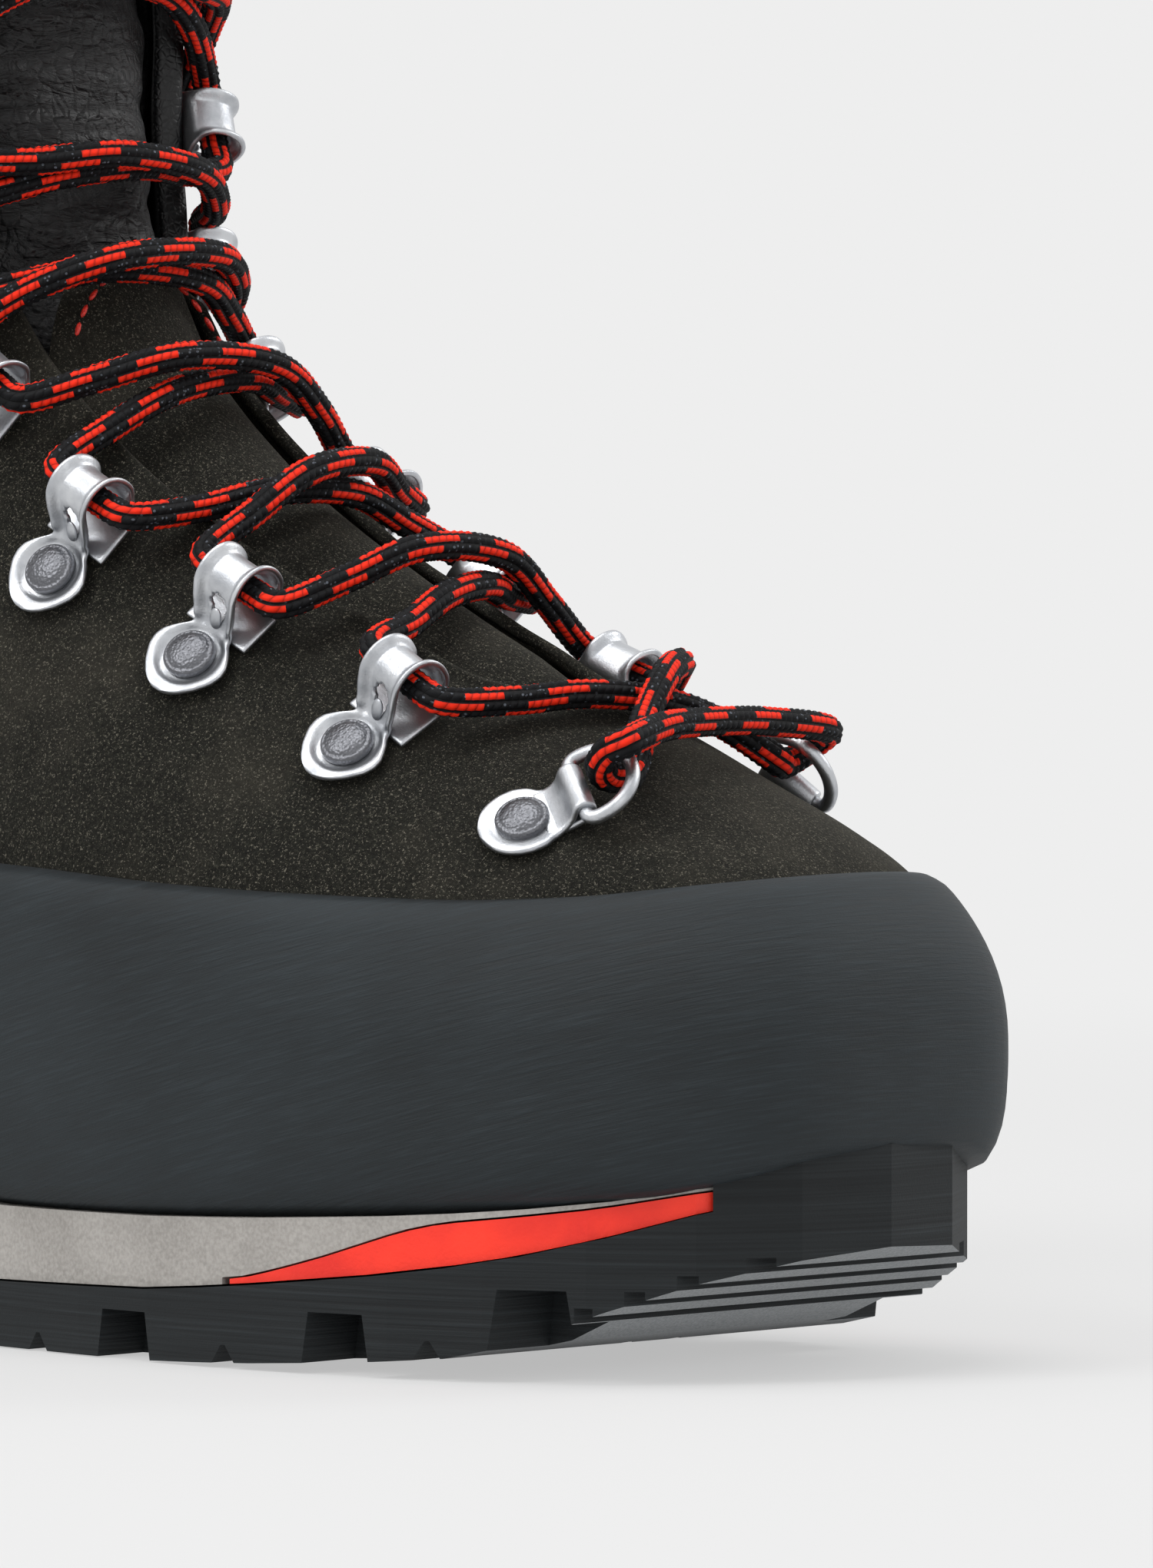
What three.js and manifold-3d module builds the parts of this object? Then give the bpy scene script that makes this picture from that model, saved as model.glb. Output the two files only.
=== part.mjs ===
// A right mountaineering boot, laced and tied. Millimetres: +X is the toe, +Y the inner side of the foot, +Z up,
// and the origin lies on the ground under the ball of the foot.
import * as THREE from "three";
import { mergeVertices } from "three/addons/utils/BufferGeometryUtils.js";
import Module from "manifold-3d";

const wasm = await Module();
wasm.setup();

// Overall sizes.
const bootLength = 300; // heel to toe over the rubber rand
const bootWidth = 100; // across the ball of the foot
const shaftHeight = 198; // top of the midsole to the top of the tongue
// Layers of the upper, from the outside in.
const randThickness = 2.3;
const suedeThickness = 1.8;
const stiffenerThickness = 1.6;
const liningThickness = 1.5;
const collarPadThickness = 6;
const tonguePadThickness = 5;
const boardThickness = 2.5;
const footbedThickness = 5;
// Sole.
const lugDepth = 7;
const notchWidth = 9.5;
const notchInset = 9;
const shankWidth = 28;
const shankThickness = 3;
const heelLedge = 2; // how far the crampon plate stands proud of the midsole
// Lacing hardware.
const laceRadius = 2.1;
const metalThickness = 1.1;
const plateWidth = 14;
const plateLength = 14;
const tunnelLength = 8.6;
const tunnelRadius = 3.3; // inside of a hook's tunnel
const tunnelReach = 12.1; // rivet to tunnel
const rivetHeadRadius = 4;
const rivetShankRadius = 1.9;
const ringWireRadius = 1.05;
const ringReach = 8.6; // fold to the far side of the ring
const ringHalfWidth = 6.4;
const ringCorner = 1.7;
const foldReach = 8.6; // rivet to the fold that holds the ring
const ringTilt = THREE.MathUtils.degToRad(12);
// Fits.
const gap = 0.3;
const hingeGap = 0.15;
const plateGap = 1.1; // under a hook's plate, where the leather dips and swells

const nominal = { length: 300, width: 100, shaft: 198, soleTop: 20.6 };
const lengthScale = bootLength / nominal.length;
const widthScale = bootWidth / nominal.width;
const heightScale = shaftHeight / nominal.shaft;

// The outer face of the suede, as sections that swing from the toe tip round to the level collar. Each row holds the
// front point x, z; the back point x, z; the outer and inner half width; the centre's shift towards the inner side;
// how square the front and the back half are; and the height of the widest point as a share.
const stations = [
  [146.2, 46, 146.2, 46, 0, 0, 5, 2, 2, 0.5],
  [144.6, 58.5, 144.6, 34, 19.5, 17, 5, 2.2, 2.6, 0.5],
  [138.5, 68.5, 139, 26, 30.5, 27, 5, 2.2, 3.4, 0.48],
  [125.5, 78, 127, 20, 39.5, 35.5, 4.5, 2.1, 4, 0.46],
  [104, 89, 106, 15.5, 46, 42, 3.5, 1.9, 4.4, 0.42],
  [73, 104, 76, 13.5, 49, 45.5, 2, 1.8, 4.6, 0.38],
  [44, 119, 44, 13, 48.5, 45, 0.5, 1.85, 4.6, 0.38],
  [21, 134.5, 10, 14, 45.5, 42, 0, 2, 4.6, 0.4],
  [6, 149, -30, 12, 42, 39, 0, 2.1, 4.4, 0.42],
  [-2, 160, -78, 18, 38.5, 38, 0, 2.3, 4.2, 0.46],
  [-7, 170, -131, 13, 37.5, 37.5, 0, 2.5, 3.8, 0.5],
  [-10, 180, -147.4, 38, 37.5, 37.5, 0, 2.7, 3, 0.54],
  [-12, 190, -147.4, 74, 38, 38, 0, 2.7, 2.3, 0.58],
  [-13, 200, -141, 125, 39, 39, 0, 2.7, 2, 0.6],
  [-13.5, 210, -135.5, 165, 40, 40, 0, 2.6, 2, 0.58],
  [-13, 222, -132, 205, 41, 41, 0, 2.6, 2, 0.58],
];
const lastStation = stations.length - 1;

// The sole from the side: x, then the height of the tread, of the outsole's top and of the midsole's top.
const soleLines = [
  [-153, 4, 11, 31.5],
  [-141, 0, 10, 31],
  [-100, 0, 10, 30],
  [-60, 0, 10, 27],
  [-20, 0, 10, 22.8],
  [13, 0, 9.8, 20.6],
  [48, 0, 10.6, 20.9],
  [68, 0.8, 12.3, 21.6],
  [89, 2, 14.4, 22.6],
  [104, 3.2, 16.4, 23.6],
  [112, 4.8, 17.8, 24.3],
  [123, 9.6, 20.4, 25.4],
  [136, 14.6, 24.6, 28],
  [145, 18.2, 27.8, 32.2],
  [155, 21, 31, 38],
].map(([x, ...heights]) => [x * lengthScale, ...heights]);
const [treadLine, outsoleTop, midsoleTop] = [1, 2, 3];
const toeBlockStart = 136 * lengthScale; // here the outsole rises to the rand

// Height of the rand's upper edge, by x.
const randEdge = [
  [-155, 64], [-140, 62], [-110, 55], [-70, 55], [-30, 63], [5, 71.5], [18, 71], [52, 68.8], [81, 67.7],
  [103, 67.5], [123, 68.8], [140, 71.8], [148, 75], [156, 79],
].map(([x, z]) => [x * lengthScale, raised(z)]);
// Height of the seam between the suede and the leather cuff, and of the collar's edge, by x.
const cuffSeam = [
  [-160, 112], [-140, 112], [-110, 128], [-70, 146], [-35, 153], [0, 160], [30, 168],
].map(([x, z]) => [x * lengthScale, raised(z)]);
const collarEdge = [
  [-160, 196], [-135, 196], [-100, 199], [-60, 206], [-30, 211], [20, 214],
].map(([x, z]) => [x * lengthScale, raised(z)]);

// Plan outline of the midsole, anticlockwise seen from above.
const soleOutline = [
  [-147, 0], [-145, -11], [-138, -23.5], [-120, -32.5], [-90, -34.5], [-55, -34.5], [-20, -37.5], [15, -43],
  [45, -46.8], [75, -47.2], [103, -43.2], [122, -35.8], [136, -25], [143, -12], [146, 5], [143, 19], [136, 29],
  [122, 37.5], [103, 42], [75, 43.5], [45, 41.5], [15, 37], [-20, 31.5], [-55, 30.5], [-90, 33], [-120, 32],
  [-138, 23], [-145, 11],
];

// Half width of the throat between the two sides of the upper, in degrees round the section, by section.
const throatStart = 4.35;
const throatAngle = [[4.35, 0], [4.5, 11], [4.9, 18], [6, 21], [7, 24], [8.5, 27], [10, 28], [12, 30], [15, 32]];
const tongueLap = 4; // degrees the tongue runs under the throat's edges
const gussetWidth = 9; // degrees of bellows beside the tongue

// Lacing rows: section and angle of the tunnel or ring, then of its rivet. The outer side first, then the inner.
const rows = [
  { name: "ring", outer: [3.9, 36, 4.07, 43], inner: [4.2, 41, 4.36, 48] },
  { name: "row1", outer: [4.93, 30, 5.08, 43.2], inner: [5.2, 35, 5.32, 48] },
  { name: "row2", outer: [5.97, 30.8, 6.1, 43.7], inner: [5.97, 30.5, 6.1, 43.5] },
  { name: "row3", outer: [7.05, 34.5, 7.21, 48], inner: [6.95, 31, 7.1, 44.5] },
  { name: "row4", outer: [8.5, 35.5, 8.63, 48.5], inner: [8.5, 34.5, 8.63, 47.5] },
  { name: "row5", outer: [10.3, 36, 10.38, 49], inner: [10.3, 36, 10.38, 49] },
  { name: "row6", outer: [11.95, 37.5, 11.97, 50], inner: [11.95, 37.5, 11.97, 50] },
];

const colours = {
  rubber: [0x2b2f31, 0.75, 0], rand: [0x3a4145, 0.7, 0], midsole: [0xa09c97, 0.85, 0], red: [0xf0301a, 0.6, 0],
  suede: [0x24231f, 0.95, 0], leather: [0x1c1e21, 0.5, 0], lining: [0x3c3f42, 0.9, 0], board: [0x8a7a5c, 0.9, 0],
  foam: [0x5a5d60, 0.9, 0], steel: [0xb9bcc0, 0.35, 1], pewter: [0x6b6c6e, 0.4, 1], lace: [0x26272a, 0.9, 0],
  webbing: [0x1d1e20, 0.85, 0], plastic: [0x202224, 0.5, 0],
};

const boot = new THREE.Group();

function add(name, solidOrGeometry, finish) {
  const [color, roughness, metalness] = colours[finish];
  const geometry = solidOrGeometry.isBufferGeometry ? solidOrGeometry : geometryOf(solidOrGeometry);
  const mesh = new THREE.Mesh(geometry, new THREE.MeshStandardMaterial({ color, roughness, metalness }));
  mesh.name = name;
  boot.add(mesh);
}

// A closed three.js geometry as a manifold-3d solid, turned to face out.
function solid(geometry) {
  const plain = geometry.index ? geometry.toNonIndexed() : geometry.clone();
  plain.deleteAttribute("normal");
  plain.deleteAttribute("uv");
  const merged = mergeVertices(plain, 1e-3);
  const corners = merged.index.array;
  const kept = [];
  for (let i = 0; i < corners.length; i += 3) {
    const [a, b, c] = [corners[i], corners[i + 1], corners[i + 2]];
    if (a !== b && b !== c && c !== a) kept.push(a, b, c);
  }
  const build = (triVerts) =>
    new wasm.Manifold(
      new wasm.Mesh({
        numProp: 3,
        vertProperties: Float32Array.from(merged.attributes.position.array),
        triVerts: Uint32Array.from(triVerts),
      }),
    );
  const made = build(kept);
  return made.volume() > 0 ? made : build(kept.reverse());
}

function geometryOf(made) {
  const mesh = made.getMesh();
  const geometry = new THREE.BufferGeometry();
  geometry.setAttribute("position", new THREE.BufferAttribute(Float32Array.from(mesh.vertProperties), 3));
  geometry.setIndex(Array.from(mesh.triVerts));
  const flat = geometry.toNonIndexed();
  flat.computeVertexNormals();
  return flat;
}

function raised(z) {
  return nominal.soleTop + (z - nominal.soleTop) * heightScale;
}

// Smooth curve through rows of numbers, at a fractional row.
function throughRows(table, at) {
  const i = Math.min(Math.floor(at), table.length - 2);
  const f = at - i;
  const row = (k) => table[Math.min(Math.max(k, 0), table.length - 1)];
  const before = i > 0 ? row(i - 1) : row(i).map((v, c) => 2 * v - row(i + 1)[c]);
  const after = i + 2 < table.length ? row(i + 2) : row(i + 1).map((v, c) => 2 * v - row(i)[c]);
  return row(i).map((v, c) => {
    const [p0, p1, p2, p3] = [before[c], v, row(i + 1)[c], after[c]];
    return 0.5 * (2 * p1 + (p2 - p0) * f + (2 * p0 - 5 * p1 + 4 * p2 - p3) * f * f
      + (3 * p1 - p0 - 3 * p2 + p3) * f * f * f);
  });
}

// Height of a line given as rows of x and z.
function heightAt(table, x, column = 1) {
  let i = 0;
  while (i < table.length - 2 && table[i + 1][0] < x) i += 1;
  const share = (x - table[i][0]) / (table[i + 1][0] - table[i][0]);
  const eased = Math.min(Math.max(share, 0), 1);
  return table[i][column] + (table[i + 1][column] - table[i][column]) * eased;
}

// A point on the upper's outer face, moved out along its normal by offset. Angle 0 is the top or front and
// +90 degrees the outer side.
function bare(section, angle) {
  const [ax, az, bx, bz, outer, inner, shift, squareFront, squareBack, widest] = throughRows(stations, section);
  const front = Math.cos(angle) >= 0;
  const power = 2 / (front ? squareFront : squareBack);
  const rise = Math.abs(Math.cos(angle)) ** power * (front ? 1 - widest : -widest) + widest;
  const half = Math.sin(angle) >= 0 ? -outer : inner;
  return new THREE.Vector3(
    (bx + (ax - bx) * rise) * lengthScale,
    (Math.abs(Math.sin(angle)) ** power * half + shift) * widthScale,
    raised(bz + (az - bz) * rise),
  );
}

function outward(section, angle) {
  const step = 1e-3;
  const low = Math.max(section - step, 1e-3);
  const high = Math.min(section + step, lastStation);
  const along = bare(high, angle).sub(bare(low, angle));
  const round = bare(section, angle + step).sub(bare(section, angle - step));
  return along.cross(round).normalize();
}

function onUpper(section, angle, offset = 0) {
  if (section < 0.02) return new THREE.Vector3(1, 0, 0).multiplyScalar(offset).add(bare(0, 0));
  return bare(section, angle).addScaledVector(outward(section, angle), offset);
}

const meshAround = 22;
const meshAlong = 18;

// The whole foot and shaft as one closed solid, grown or shrunk by offset: a sphere's mesh laid over the sections.
function lastSolid(offset) {
  const [around, along] = [meshAround, meshAlong];
  const sphere = new THREE.SphereGeometry(1, around, along + 1);
  const { position, uv } = sphere.attributes;
  const lid = onUpper(lastStation, 0, offset).add(onUpper(lastStation, Math.PI, offset)).multiplyScalar(0.5);
  for (let i = 0; i < position.count; i += 1) {
    const row = Math.round((1 - uv.getY(i)) * (along + 1));
    const share = row / along;
    const section = row > along ? lastStation : lastStation * share ** 1.15;
    const point = row > along ? lid : onUpper(section, evenAngle(uv.getX(i)), offset);
    position.setXYZ(i, point.x, point.y, point.z);
  }
  return solid(sphere);
}

// Spreads the mesh's columns so that the square lower corners get enough of them.
function evenAngle(share) {
  const angle = share * Math.PI * 2;
  return angle - 0.16 * Math.sin(2 * angle) * (Math.cos(angle) < 0 ? 1 : 0);
}

// A sheet that follows the upper between two sections and two angles, from one offset to another: a box bent to it.
function sheet({ from, to, left, right, inside, outside, along = 12, across = 6 }) {
  const box = new THREE.BoxGeometry(1, 1, 1, along, across, 1);
  const { position } = box.attributes;
  for (let i = 0; i < position.count; i += 1) {
    const section = from + (to - from) * (position.getX(i) + 0.5);
    const share = position.getY(i) + 0.5;
    const angle = THREE.MathUtils.degToRad(left(section) + (right(section) - left(section)) * share);
    const offset = position.getZ(i) > 0 ? outside(section, share) : inside(section, share);
    const point = onUpper(section, angle, offset);
    position.setXYZ(i, point.x, point.y, point.z);
  }
  return solid(box);
}

// A side view outline in x and z, carried across the boot in y.
function sidePrism(points, yMin = -90, yMax = 90) {
  const shape = new THREE.Shape(points.map(([x, z]) => new THREE.Vector2(x, z)));
  const geometry = new THREE.ExtrudeGeometry(shape, { depth: yMax - yMin, bevelEnabled: false });
  geometry.rotateX(Math.PI / 2);
  geometry.translate(0, yMax, 0);
  return solid(geometry);
}

// Everything between two heights that vary with x.
function band(low, high, xMin = -170, xMax = 170, steps = 30, yMin = -90, yMax = 90) {
  const xs = Array.from({ length: steps + 1 }, (_, i) => xMin + ((xMax - xMin) * i) / steps);
  return sidePrism([...xs.map((x) => [x, low(x)]), ...xs.reverse().map((x) => [x, high(x)])], yMin, yMax);
}

const sole = (column, rise = 0) => (x) => heightAt(soleLines, x, column) + rise;
const above = (height) => band(height, () => 320);
const below = (height) => band(() => -60, height);

// The sole's plan outline, grown by offset, carried from zMin to zMax.
function planPrism(offset, zMin, zMax, count = 44) {
  const points = soleOutline.map(([x, y]) => new THREE.Vector3(x * lengthScale, y * widthScale, 0));
  const curve = new THREE.CatmullRomCurve3(points, true);
  const ring = Array.from({ length: count }, (_, i) => {
    const tangent = curve.getTangentAt(i / count);
    const point = curve.getPointAt(i / count);
    return new THREE.Vector2(point.x + tangent.y * offset, point.y - tangent.x * offset);
  });
  const geometry = new THREE.ExtrudeGeometry(new THREE.Shape(ring), { depth: zMax - zMin, bevelEnabled: false });
  geometry.translate(0, 0, zMin);
  return solid(geometry);
}

function box(x0, x1, y0, y1, z0, z1) {
  const geometry = new THREE.BoxGeometry(x1 - x0, y1 - y0, z1 - z0);
  geometry.translate((x0 + x1) / 2, (y0 + y1) / 2, (z0 + z1) / 2);
  return solid(geometry);
}

function halfWidth(x, side) {
  const edge = soleOutline.filter(([, y]) => y * side > 0 || y === 0).map(([px, y]) => [px * lengthScale, y * widthScale]);
  edge.sort((a, b) => a[0] - b[0]);
  return Math.abs(heightAt(edge, x));
}

function throatAt(section) {
  return section < throatStart ? 0 : heightAt(throatAngle, section);
}

// ---- sole ----
const shankStart = -105 * lengthScale;
const shankEnd = 50 * lengthScale;
const plateFront = -108 * lengthScale;
const plateBottom = 17;
const plateTop = 26;
const plateDepth = 9;

function shank(room) {
  return band(
    sole(midsoleTop, -shankThickness - gap - room), sole(midsoleTop, room ? 1 : -gap),
    shankStart - room, shankEnd + room, 12, -shankWidth / 2 - room, shankWidth / 2 + room,
  );
}

function cramponPlate(room) {
  const rear = box(-170 * lengthScale, plateFront + room, -60, 60, plateBottom - room, plateTop + room);
  return planPrism(heelLedge + room, plateBottom - room, plateTop + room)
    .subtract(planPrism(-plateDepth - room, plateBottom - 5, plateTop + 5)).intersect(rear);
}

// The red wedge under the ball of the foot: its upper edge by x.
const wedgeEdge = [
  [60, 12.3], [66, 12.9], [72, 14.2], [80, 16.2], [88, 18.6], [95, 20.7], [101, 22], [112, 23.2], [123, 24.6], [137, 27.4],
].map(([x, z]) => [x * lengthScale, z]);

function wedge(room) {
  return band(
    sole(outsoleTop, room ? -1 : 0), (x) => heightAt(wedgeEdge, x) + room,
    (room ? 62 : 63.5) * lengthScale, toeBlockStart + room, 20,
  );
}

function makeMidsole() {
  const body = planPrism(0, 0, 45)
    .intersect(band(sole(outsoleTop), sole(midsoleTop)))
    .intersect(box(-170 * lengthScale, toeBlockStart, -90, 90, 0, 60));
  add("midsole", body.subtract(wedge(gap)).subtract(shank(gap)).subtract(cramponPlate(gap)), "midsole");
  add("forefoot_wedge", planPrism(0, 0, 45).intersect(wedge(0)), "red");
  add("shank", shank(0), "plastic");
  add("heel_crampon_plate", cramponPlate(0), "plastic");
}

const notches = [115, 84, 42, 3, -79, -101, -123].map((x) => x * lengthScale);
const nicks = [99.5, 63, 22].map((x) => x * lengthScale);

// A cut into the tread's edge, wider at the ground, on one side of the sole.
function edgeCut(x, side, mouth, roof, depth, inset) {
  const low = heightAt(soleLines, x, treadLine);
  const edge = halfWidth(x, side);
  const outline = [[x - mouth, low - 4], [x + mouth, low - 4], [x + roof, low + depth], [x - roof, low + depth]];
  const [near, far] = [side * (edge - inset), side * (edge + 14)];
  return sidePrism(outline, Math.min(near, far), Math.max(near, far));
}

// A groove in the tread: a bar laid on the tread at x, y, turned about the vertical.
function groove(x, y, length, width, depth, degrees) {
  const low = heightAt(soleLines, x, treadLine);
  const geometry = new THREE.BoxGeometry(width, length, depth * 2);
  geometry.rotateZ(THREE.MathUtils.degToRad(degrees));
  geometry.translate(x, y, low);
  return solid(geometry);
}

function makeOutsole() {
  const flange = 1;
  const block = planPrism(flange, -2, 50).intersect(band(sole(treadLine), sole(outsoleTop, -gap)));
  const toeBlock = planPrism(flange, -2, 50).intersect(
    band(sole(treadLine), sole(midsoleTop), toeBlockStart + gap, 170 * lengthScale, 8),
  );
  let body = block.add(toeBlock);
  for (const side of [-1, 1]) {
    for (const x of notches) {
      body = body.subtract(edgeCut(x, side, notchWidth * 0.68, notchWidth / 2, lugDepth, notchInset));
    }
    for (const x of nicks) body = body.subtract(edgeCut(x, side, 5, 0.4, 2.6, 6));
    for (const x of [22, 62, 99]) {
      body = body.subtract(groove((x - 9) * lengthScale, side * 13, 30, 4.5, 5, side * 52));
    }
    for (const x of [-90, -112, -132]) {
      body = body.subtract(groove(x * lengthScale, side * 11, 24, 4.5, 5, side * 60));
    }
  }
  const [heelBreast, forePartStart] = [-62 * lengthScale, -18 * lengthScale];
  const arch = sidePrism([
    [heelBreast - 3, -4], [heelBreast, 5], [forePartStart, 5], [forePartStart + 3, -4],
  ]);
  for (const x of [122, 128, 134, 140]) body = body.subtract(groove(x * lengthScale, 4, 90, 2.4, 1.6, 0));
  add("outsole", body.subtract(arch), "rubber");
}

// ---- upper ----
const stiffenerOut = -suedeThickness - gap;
const liningOut = stiffenerOut - stiffenerThickness - gap;
const liningIn = liningOut - liningThickness;
const boardTop = boardThickness + gap;

function shell(outside, inside) {
  return lastSolid(outside).subtract(lastSolid(inside));
}

// The slot between the two sides of the upper, widened by extra degrees.
function throatCutter(extra, start = throatStart) {
  return sheet({
    from: start - 0.02, to: lastStation - 0.05,
    left: (s) => -throatAt(s) - extra - 0.2, right: (s) => throatAt(s) + extra + 0.2,
    inside: () => -14, outside: () => 8, along: 18, across: 2,
  });
}

function makeFootSupport() {
  const board = band(sole(midsoleTop, gap), sole(midsoleTop, boardTop));
  add("lasting_board", lastSolid(-suedeThickness - gap).intersect(board), "board");
  const bed = band(sole(midsoleTop, boardTop + gap), sole(midsoleTop, boardTop + gap + footbedThickness));
  add("footbed", lastSolid(liningIn - gap).intersect(bed), "foam");
}

function makeUpper(rivetHoles) {
  const floor = above(sole(midsoleTop, gap));
  const inner = above(sole(midsoleTop, boardTop + gap));
  const throat = throatCutter(0);
  const suede = shell(0, -suedeThickness).subtract(throat);
  add("rand", shell(gap + randThickness, gap).intersect(floor).intersect(below((x) => heightAt(randEdge, x))), "rand");
  const seam = (x) => heightAt(cuffSeam, x);
  let lower = suede.intersect(floor).intersect(below(seam));
  let cuff = suede.intersect(above((x) => seam(x) + gap)).intersect(below((x) => heightAt(collarEdge, x)));
  for (const hole of rivetHoles) {
    lower = lower.subtract(hole);
    cuff = cuff.subtract(hole);
  }
  add("suede_upper", lower, "suede");
  const halves = { outer: -1, inner: 1 };
  for (const [side, sign] of Object.entries(halves)) {
    const half = box(-200, 60, sign > 0 ? gap / 2 : -90, sign > 0 ? 90 : -gap / 2, 60, 320);
    add(`cuff_${side}`, cuff.intersect(half), "leather");
  }
  const stiffener = shell(stiffenerOut, stiffenerOut - stiffenerThickness).intersect(inner);
  const toeCap = box(104 * lengthScale, 170 * lengthScale, -90, 90, 0, 140);
  add("toe_puff", stiffener.intersect(toeCap), "plastic");
  const heelCup = sidePrism([
    [-170, 0], [-88, 0], [-88, 40], [-104, 78], [-128, 92], [-170, 96],
  ].map(([x, z]) => [x * lengthScale, raised(z)]));
  add("heel_counter", stiffener.intersect(heelCup), "plastic");
  const padBottom = (x) => heightAt(collarEdge, x) - 34;
  const lining = shell(liningOut, liningIn).intersect(inner).intersect(below(padBottom))
    .subtract(throatCutter(tongueLap + gussetWidth + 1, throatStart - 0.25));
  add("lining", lining, "lining");
  const padEdge = 5; // the padded collar stands this far above the cuff's leather
  const pad = shell(-suedeThickness - gap, -suedeThickness - gap - collarPadThickness)
    .intersect(above((x) => padBottom(x) + gap)).intersect(below((x) => heightAt(collarEdge, x) + padEdge))
    .subtract(throatCutter(tongueLap + 2));
  add("collar_pad", pad, "leather");
}

function makeTongue() {
  const side = (s) => throatAt(s) + tongueLap;
  // The tongue swells up between the two edges of the throat and lies flat under them.
  const crown = (low, high) => (s, share) => {
    const reach = Math.min(1, Math.abs(2 * share - 1) * (side(s) / Math.max(throatAt(s) - 1, 1)));
    return low + (high - low) * Math.min(1, throatAt(s) / 18) * Math.cos((Math.PI / 2) * reach) ** 1.5;
  };
  const under = -suedeThickness - gap * 4;
  const seamSection = 9.05;
  add("tongue_vamp", sheet({
    from: throatStart + 0.12, to: seamSection, left: (s) => -side(s), right: side,
    inside: () => under - 3, outside: crown(under, -0.4), along: 12, across: 6,
  }), "suede");
  add("tongue_pad", sheet({
    from: seamSection + 0.06, to: lastStation - 0.1, left: (s) => -side(s) - 1, right: (s) => side(s) + 1,
    inside: () => under - tonguePadThickness - 1.5, outside: crown(under, 0.4), along: 12, across: 6,
  }), "leather");
  for (const [name, sign] of [["gusset_outer", 1], ["gusset_inner", -1]]) {
    const near = (s) => sign * (side(s) + 1.6);
    const far = (s) => sign * (throatAt(s) + tongueLap + gussetWidth - 0.6);
    add(name, sheet({
      from: throatStart + 0.3, to: 10.6, left: near, right: far,
      inside: () => liningOut - 1, outside: () => liningOut, along: 12, across: 2,
    }), "lining");
  }
}

// ---- lacing hardware ----
// A rivet's frame: origin on the leather, x towards the throat, y up along the throat, z out of the leather.
function rivetFrame([section, angle, rivetSection, rivetAngle], sign) {
  const rad = THREE.MathUtils.degToRad;
  const origin = onUpper(rivetSection, sign * rad(rivetAngle));
  const z = outward(rivetSection, sign * rad(rivetAngle));
  const x = onUpper(section, sign * rad(angle)).sub(origin);
  x.addScaledVector(z, -x.dot(z)).normalize();
  const y = z.clone().cross(x).multiplyScalar(sign);
  return { origin, x, y, z, at: (a, b, c) => origin.clone().addScaledVector(x, a).addScaledVector(y, b).addScaledVector(z, c) };
}

function placed(geometry, frame) {
  const turned = new THREE.Matrix4().makeBasis(frame.x, frame.y, frame.z).setPosition(frame.origin);
  return solid(geometry.applyMatrix4(turned));
}

// A strip's edge view in the frame's x and z, carried along y between two values.
function strip(points, holes, width) {
  const shape = new THREE.Shape(points.map(([x, z]) => new THREE.Vector2(x, z)));
  for (const hole of holes) shape.holes.push(hole);
  const geometry = new THREE.ExtrudeGeometry(shape, { depth: width, bevelEnabled: false, curveSegments: 5 });
  geometry.rotateX(Math.PI / 2);
  geometry.translate(0, width / 2, 0);
  return geometry;
}

function roundHole(x, z, radius, sides = 9) {
  return new THREE.Path(
    Array.from({ length: sides }, (_, i) => {
      const a = (-i / sides) * Math.PI * 2;
      return new THREE.Vector2(x + Math.cos(a) * radius, z + Math.sin(a) * radius);
    }),
  );
}

// The edge view of a strip that runs along the leather and rolls into an eye: plate, then a round loop.
function eyeOutline(start, reach, eyeRadius, base) {
  const outer = eyeRadius + metalThickness;
  const centre = base + outer;
  const points = [[start, base], [reach, base]];
  const top = base + metalThickness;
  const meet = Math.asin(Math.min(1, (outer - metalThickness) / outer));
  for (let i = 1; i <= 9; i += 1) {
    const a = -Math.PI / 2 + (i / 9) * (Math.PI * 2 - (Math.PI / 2 - meet));
    points.push([reach + Math.cos(a) * outer, centre + Math.sin(a) * outer]);
  }
  points.push([start, top]);
  return { points, centre };
}

function plateGeometry(outline, thickness, holeRadius) {
  const shape = new THREE.Shape(outline.map(([x, y]) => new THREE.Vector2(x, y)));
  shape.holes.push(roundHole(0, 0, holeRadius, 8));
  const geometry = new THREE.ExtrudeGeometry(shape, { depth: thickness, bevelEnabled: false });
  geometry.translate(0, 0, plateGap);
  return geometry;
}

const holeRadius = rivetShankRadius + gap;
const tunnelHeight = plateGap + tunnelRadius + metalThickness;

function hook(frame) {
  const [w, back] = [plateWidth / 2, -plateLength / 2];
  const plate = placed(plateGeometry([
    [back, -w * 0.72], [back * 0.72, -w], [3, -w], [6.5, -tunnelLength / 2], [6.5, tunnelLength / 2], [3, w],
    [back * 0.72, w], [back, w * 0.72],
  ], metalThickness, holeRadius), frame);
  const eye = eyeOutline(5, tunnelReach, tunnelRadius, plateGap);
  return plate.add(placed(strip(eye.points, [roundHole(tunnelReach, eye.centre, tunnelRadius)], tunnelLength), frame));
}

function rivet(frame) {
  const [top, cap] = [plateGap + metalThickness + gap, 1.9];
  const profile = [
    [0, -suedeThickness + 0.2], [rivetShankRadius, -suedeThickness + 0.2], [rivetShankRadius, top],
    [rivetHeadRadius, top], [rivetHeadRadius, top + cap * 0.4], [rivetHeadRadius * 0.7, top + cap], [0, top + cap],
  ].map(([r, z]) => new THREE.Vector2(r, z));
  const geometry = new THREE.LatheGeometry(profile, 8);
  geometry.rotateX(Math.PI / 2);
  return placed(geometry, frame);
}

function rivetHole(frame) {
  const geometry = new THREE.CylinderGeometry(holeRadius, holeRadius, 8, 7);
  geometry.rotateX(Math.PI / 2);
  return placed(geometry, frame);
}

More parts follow.
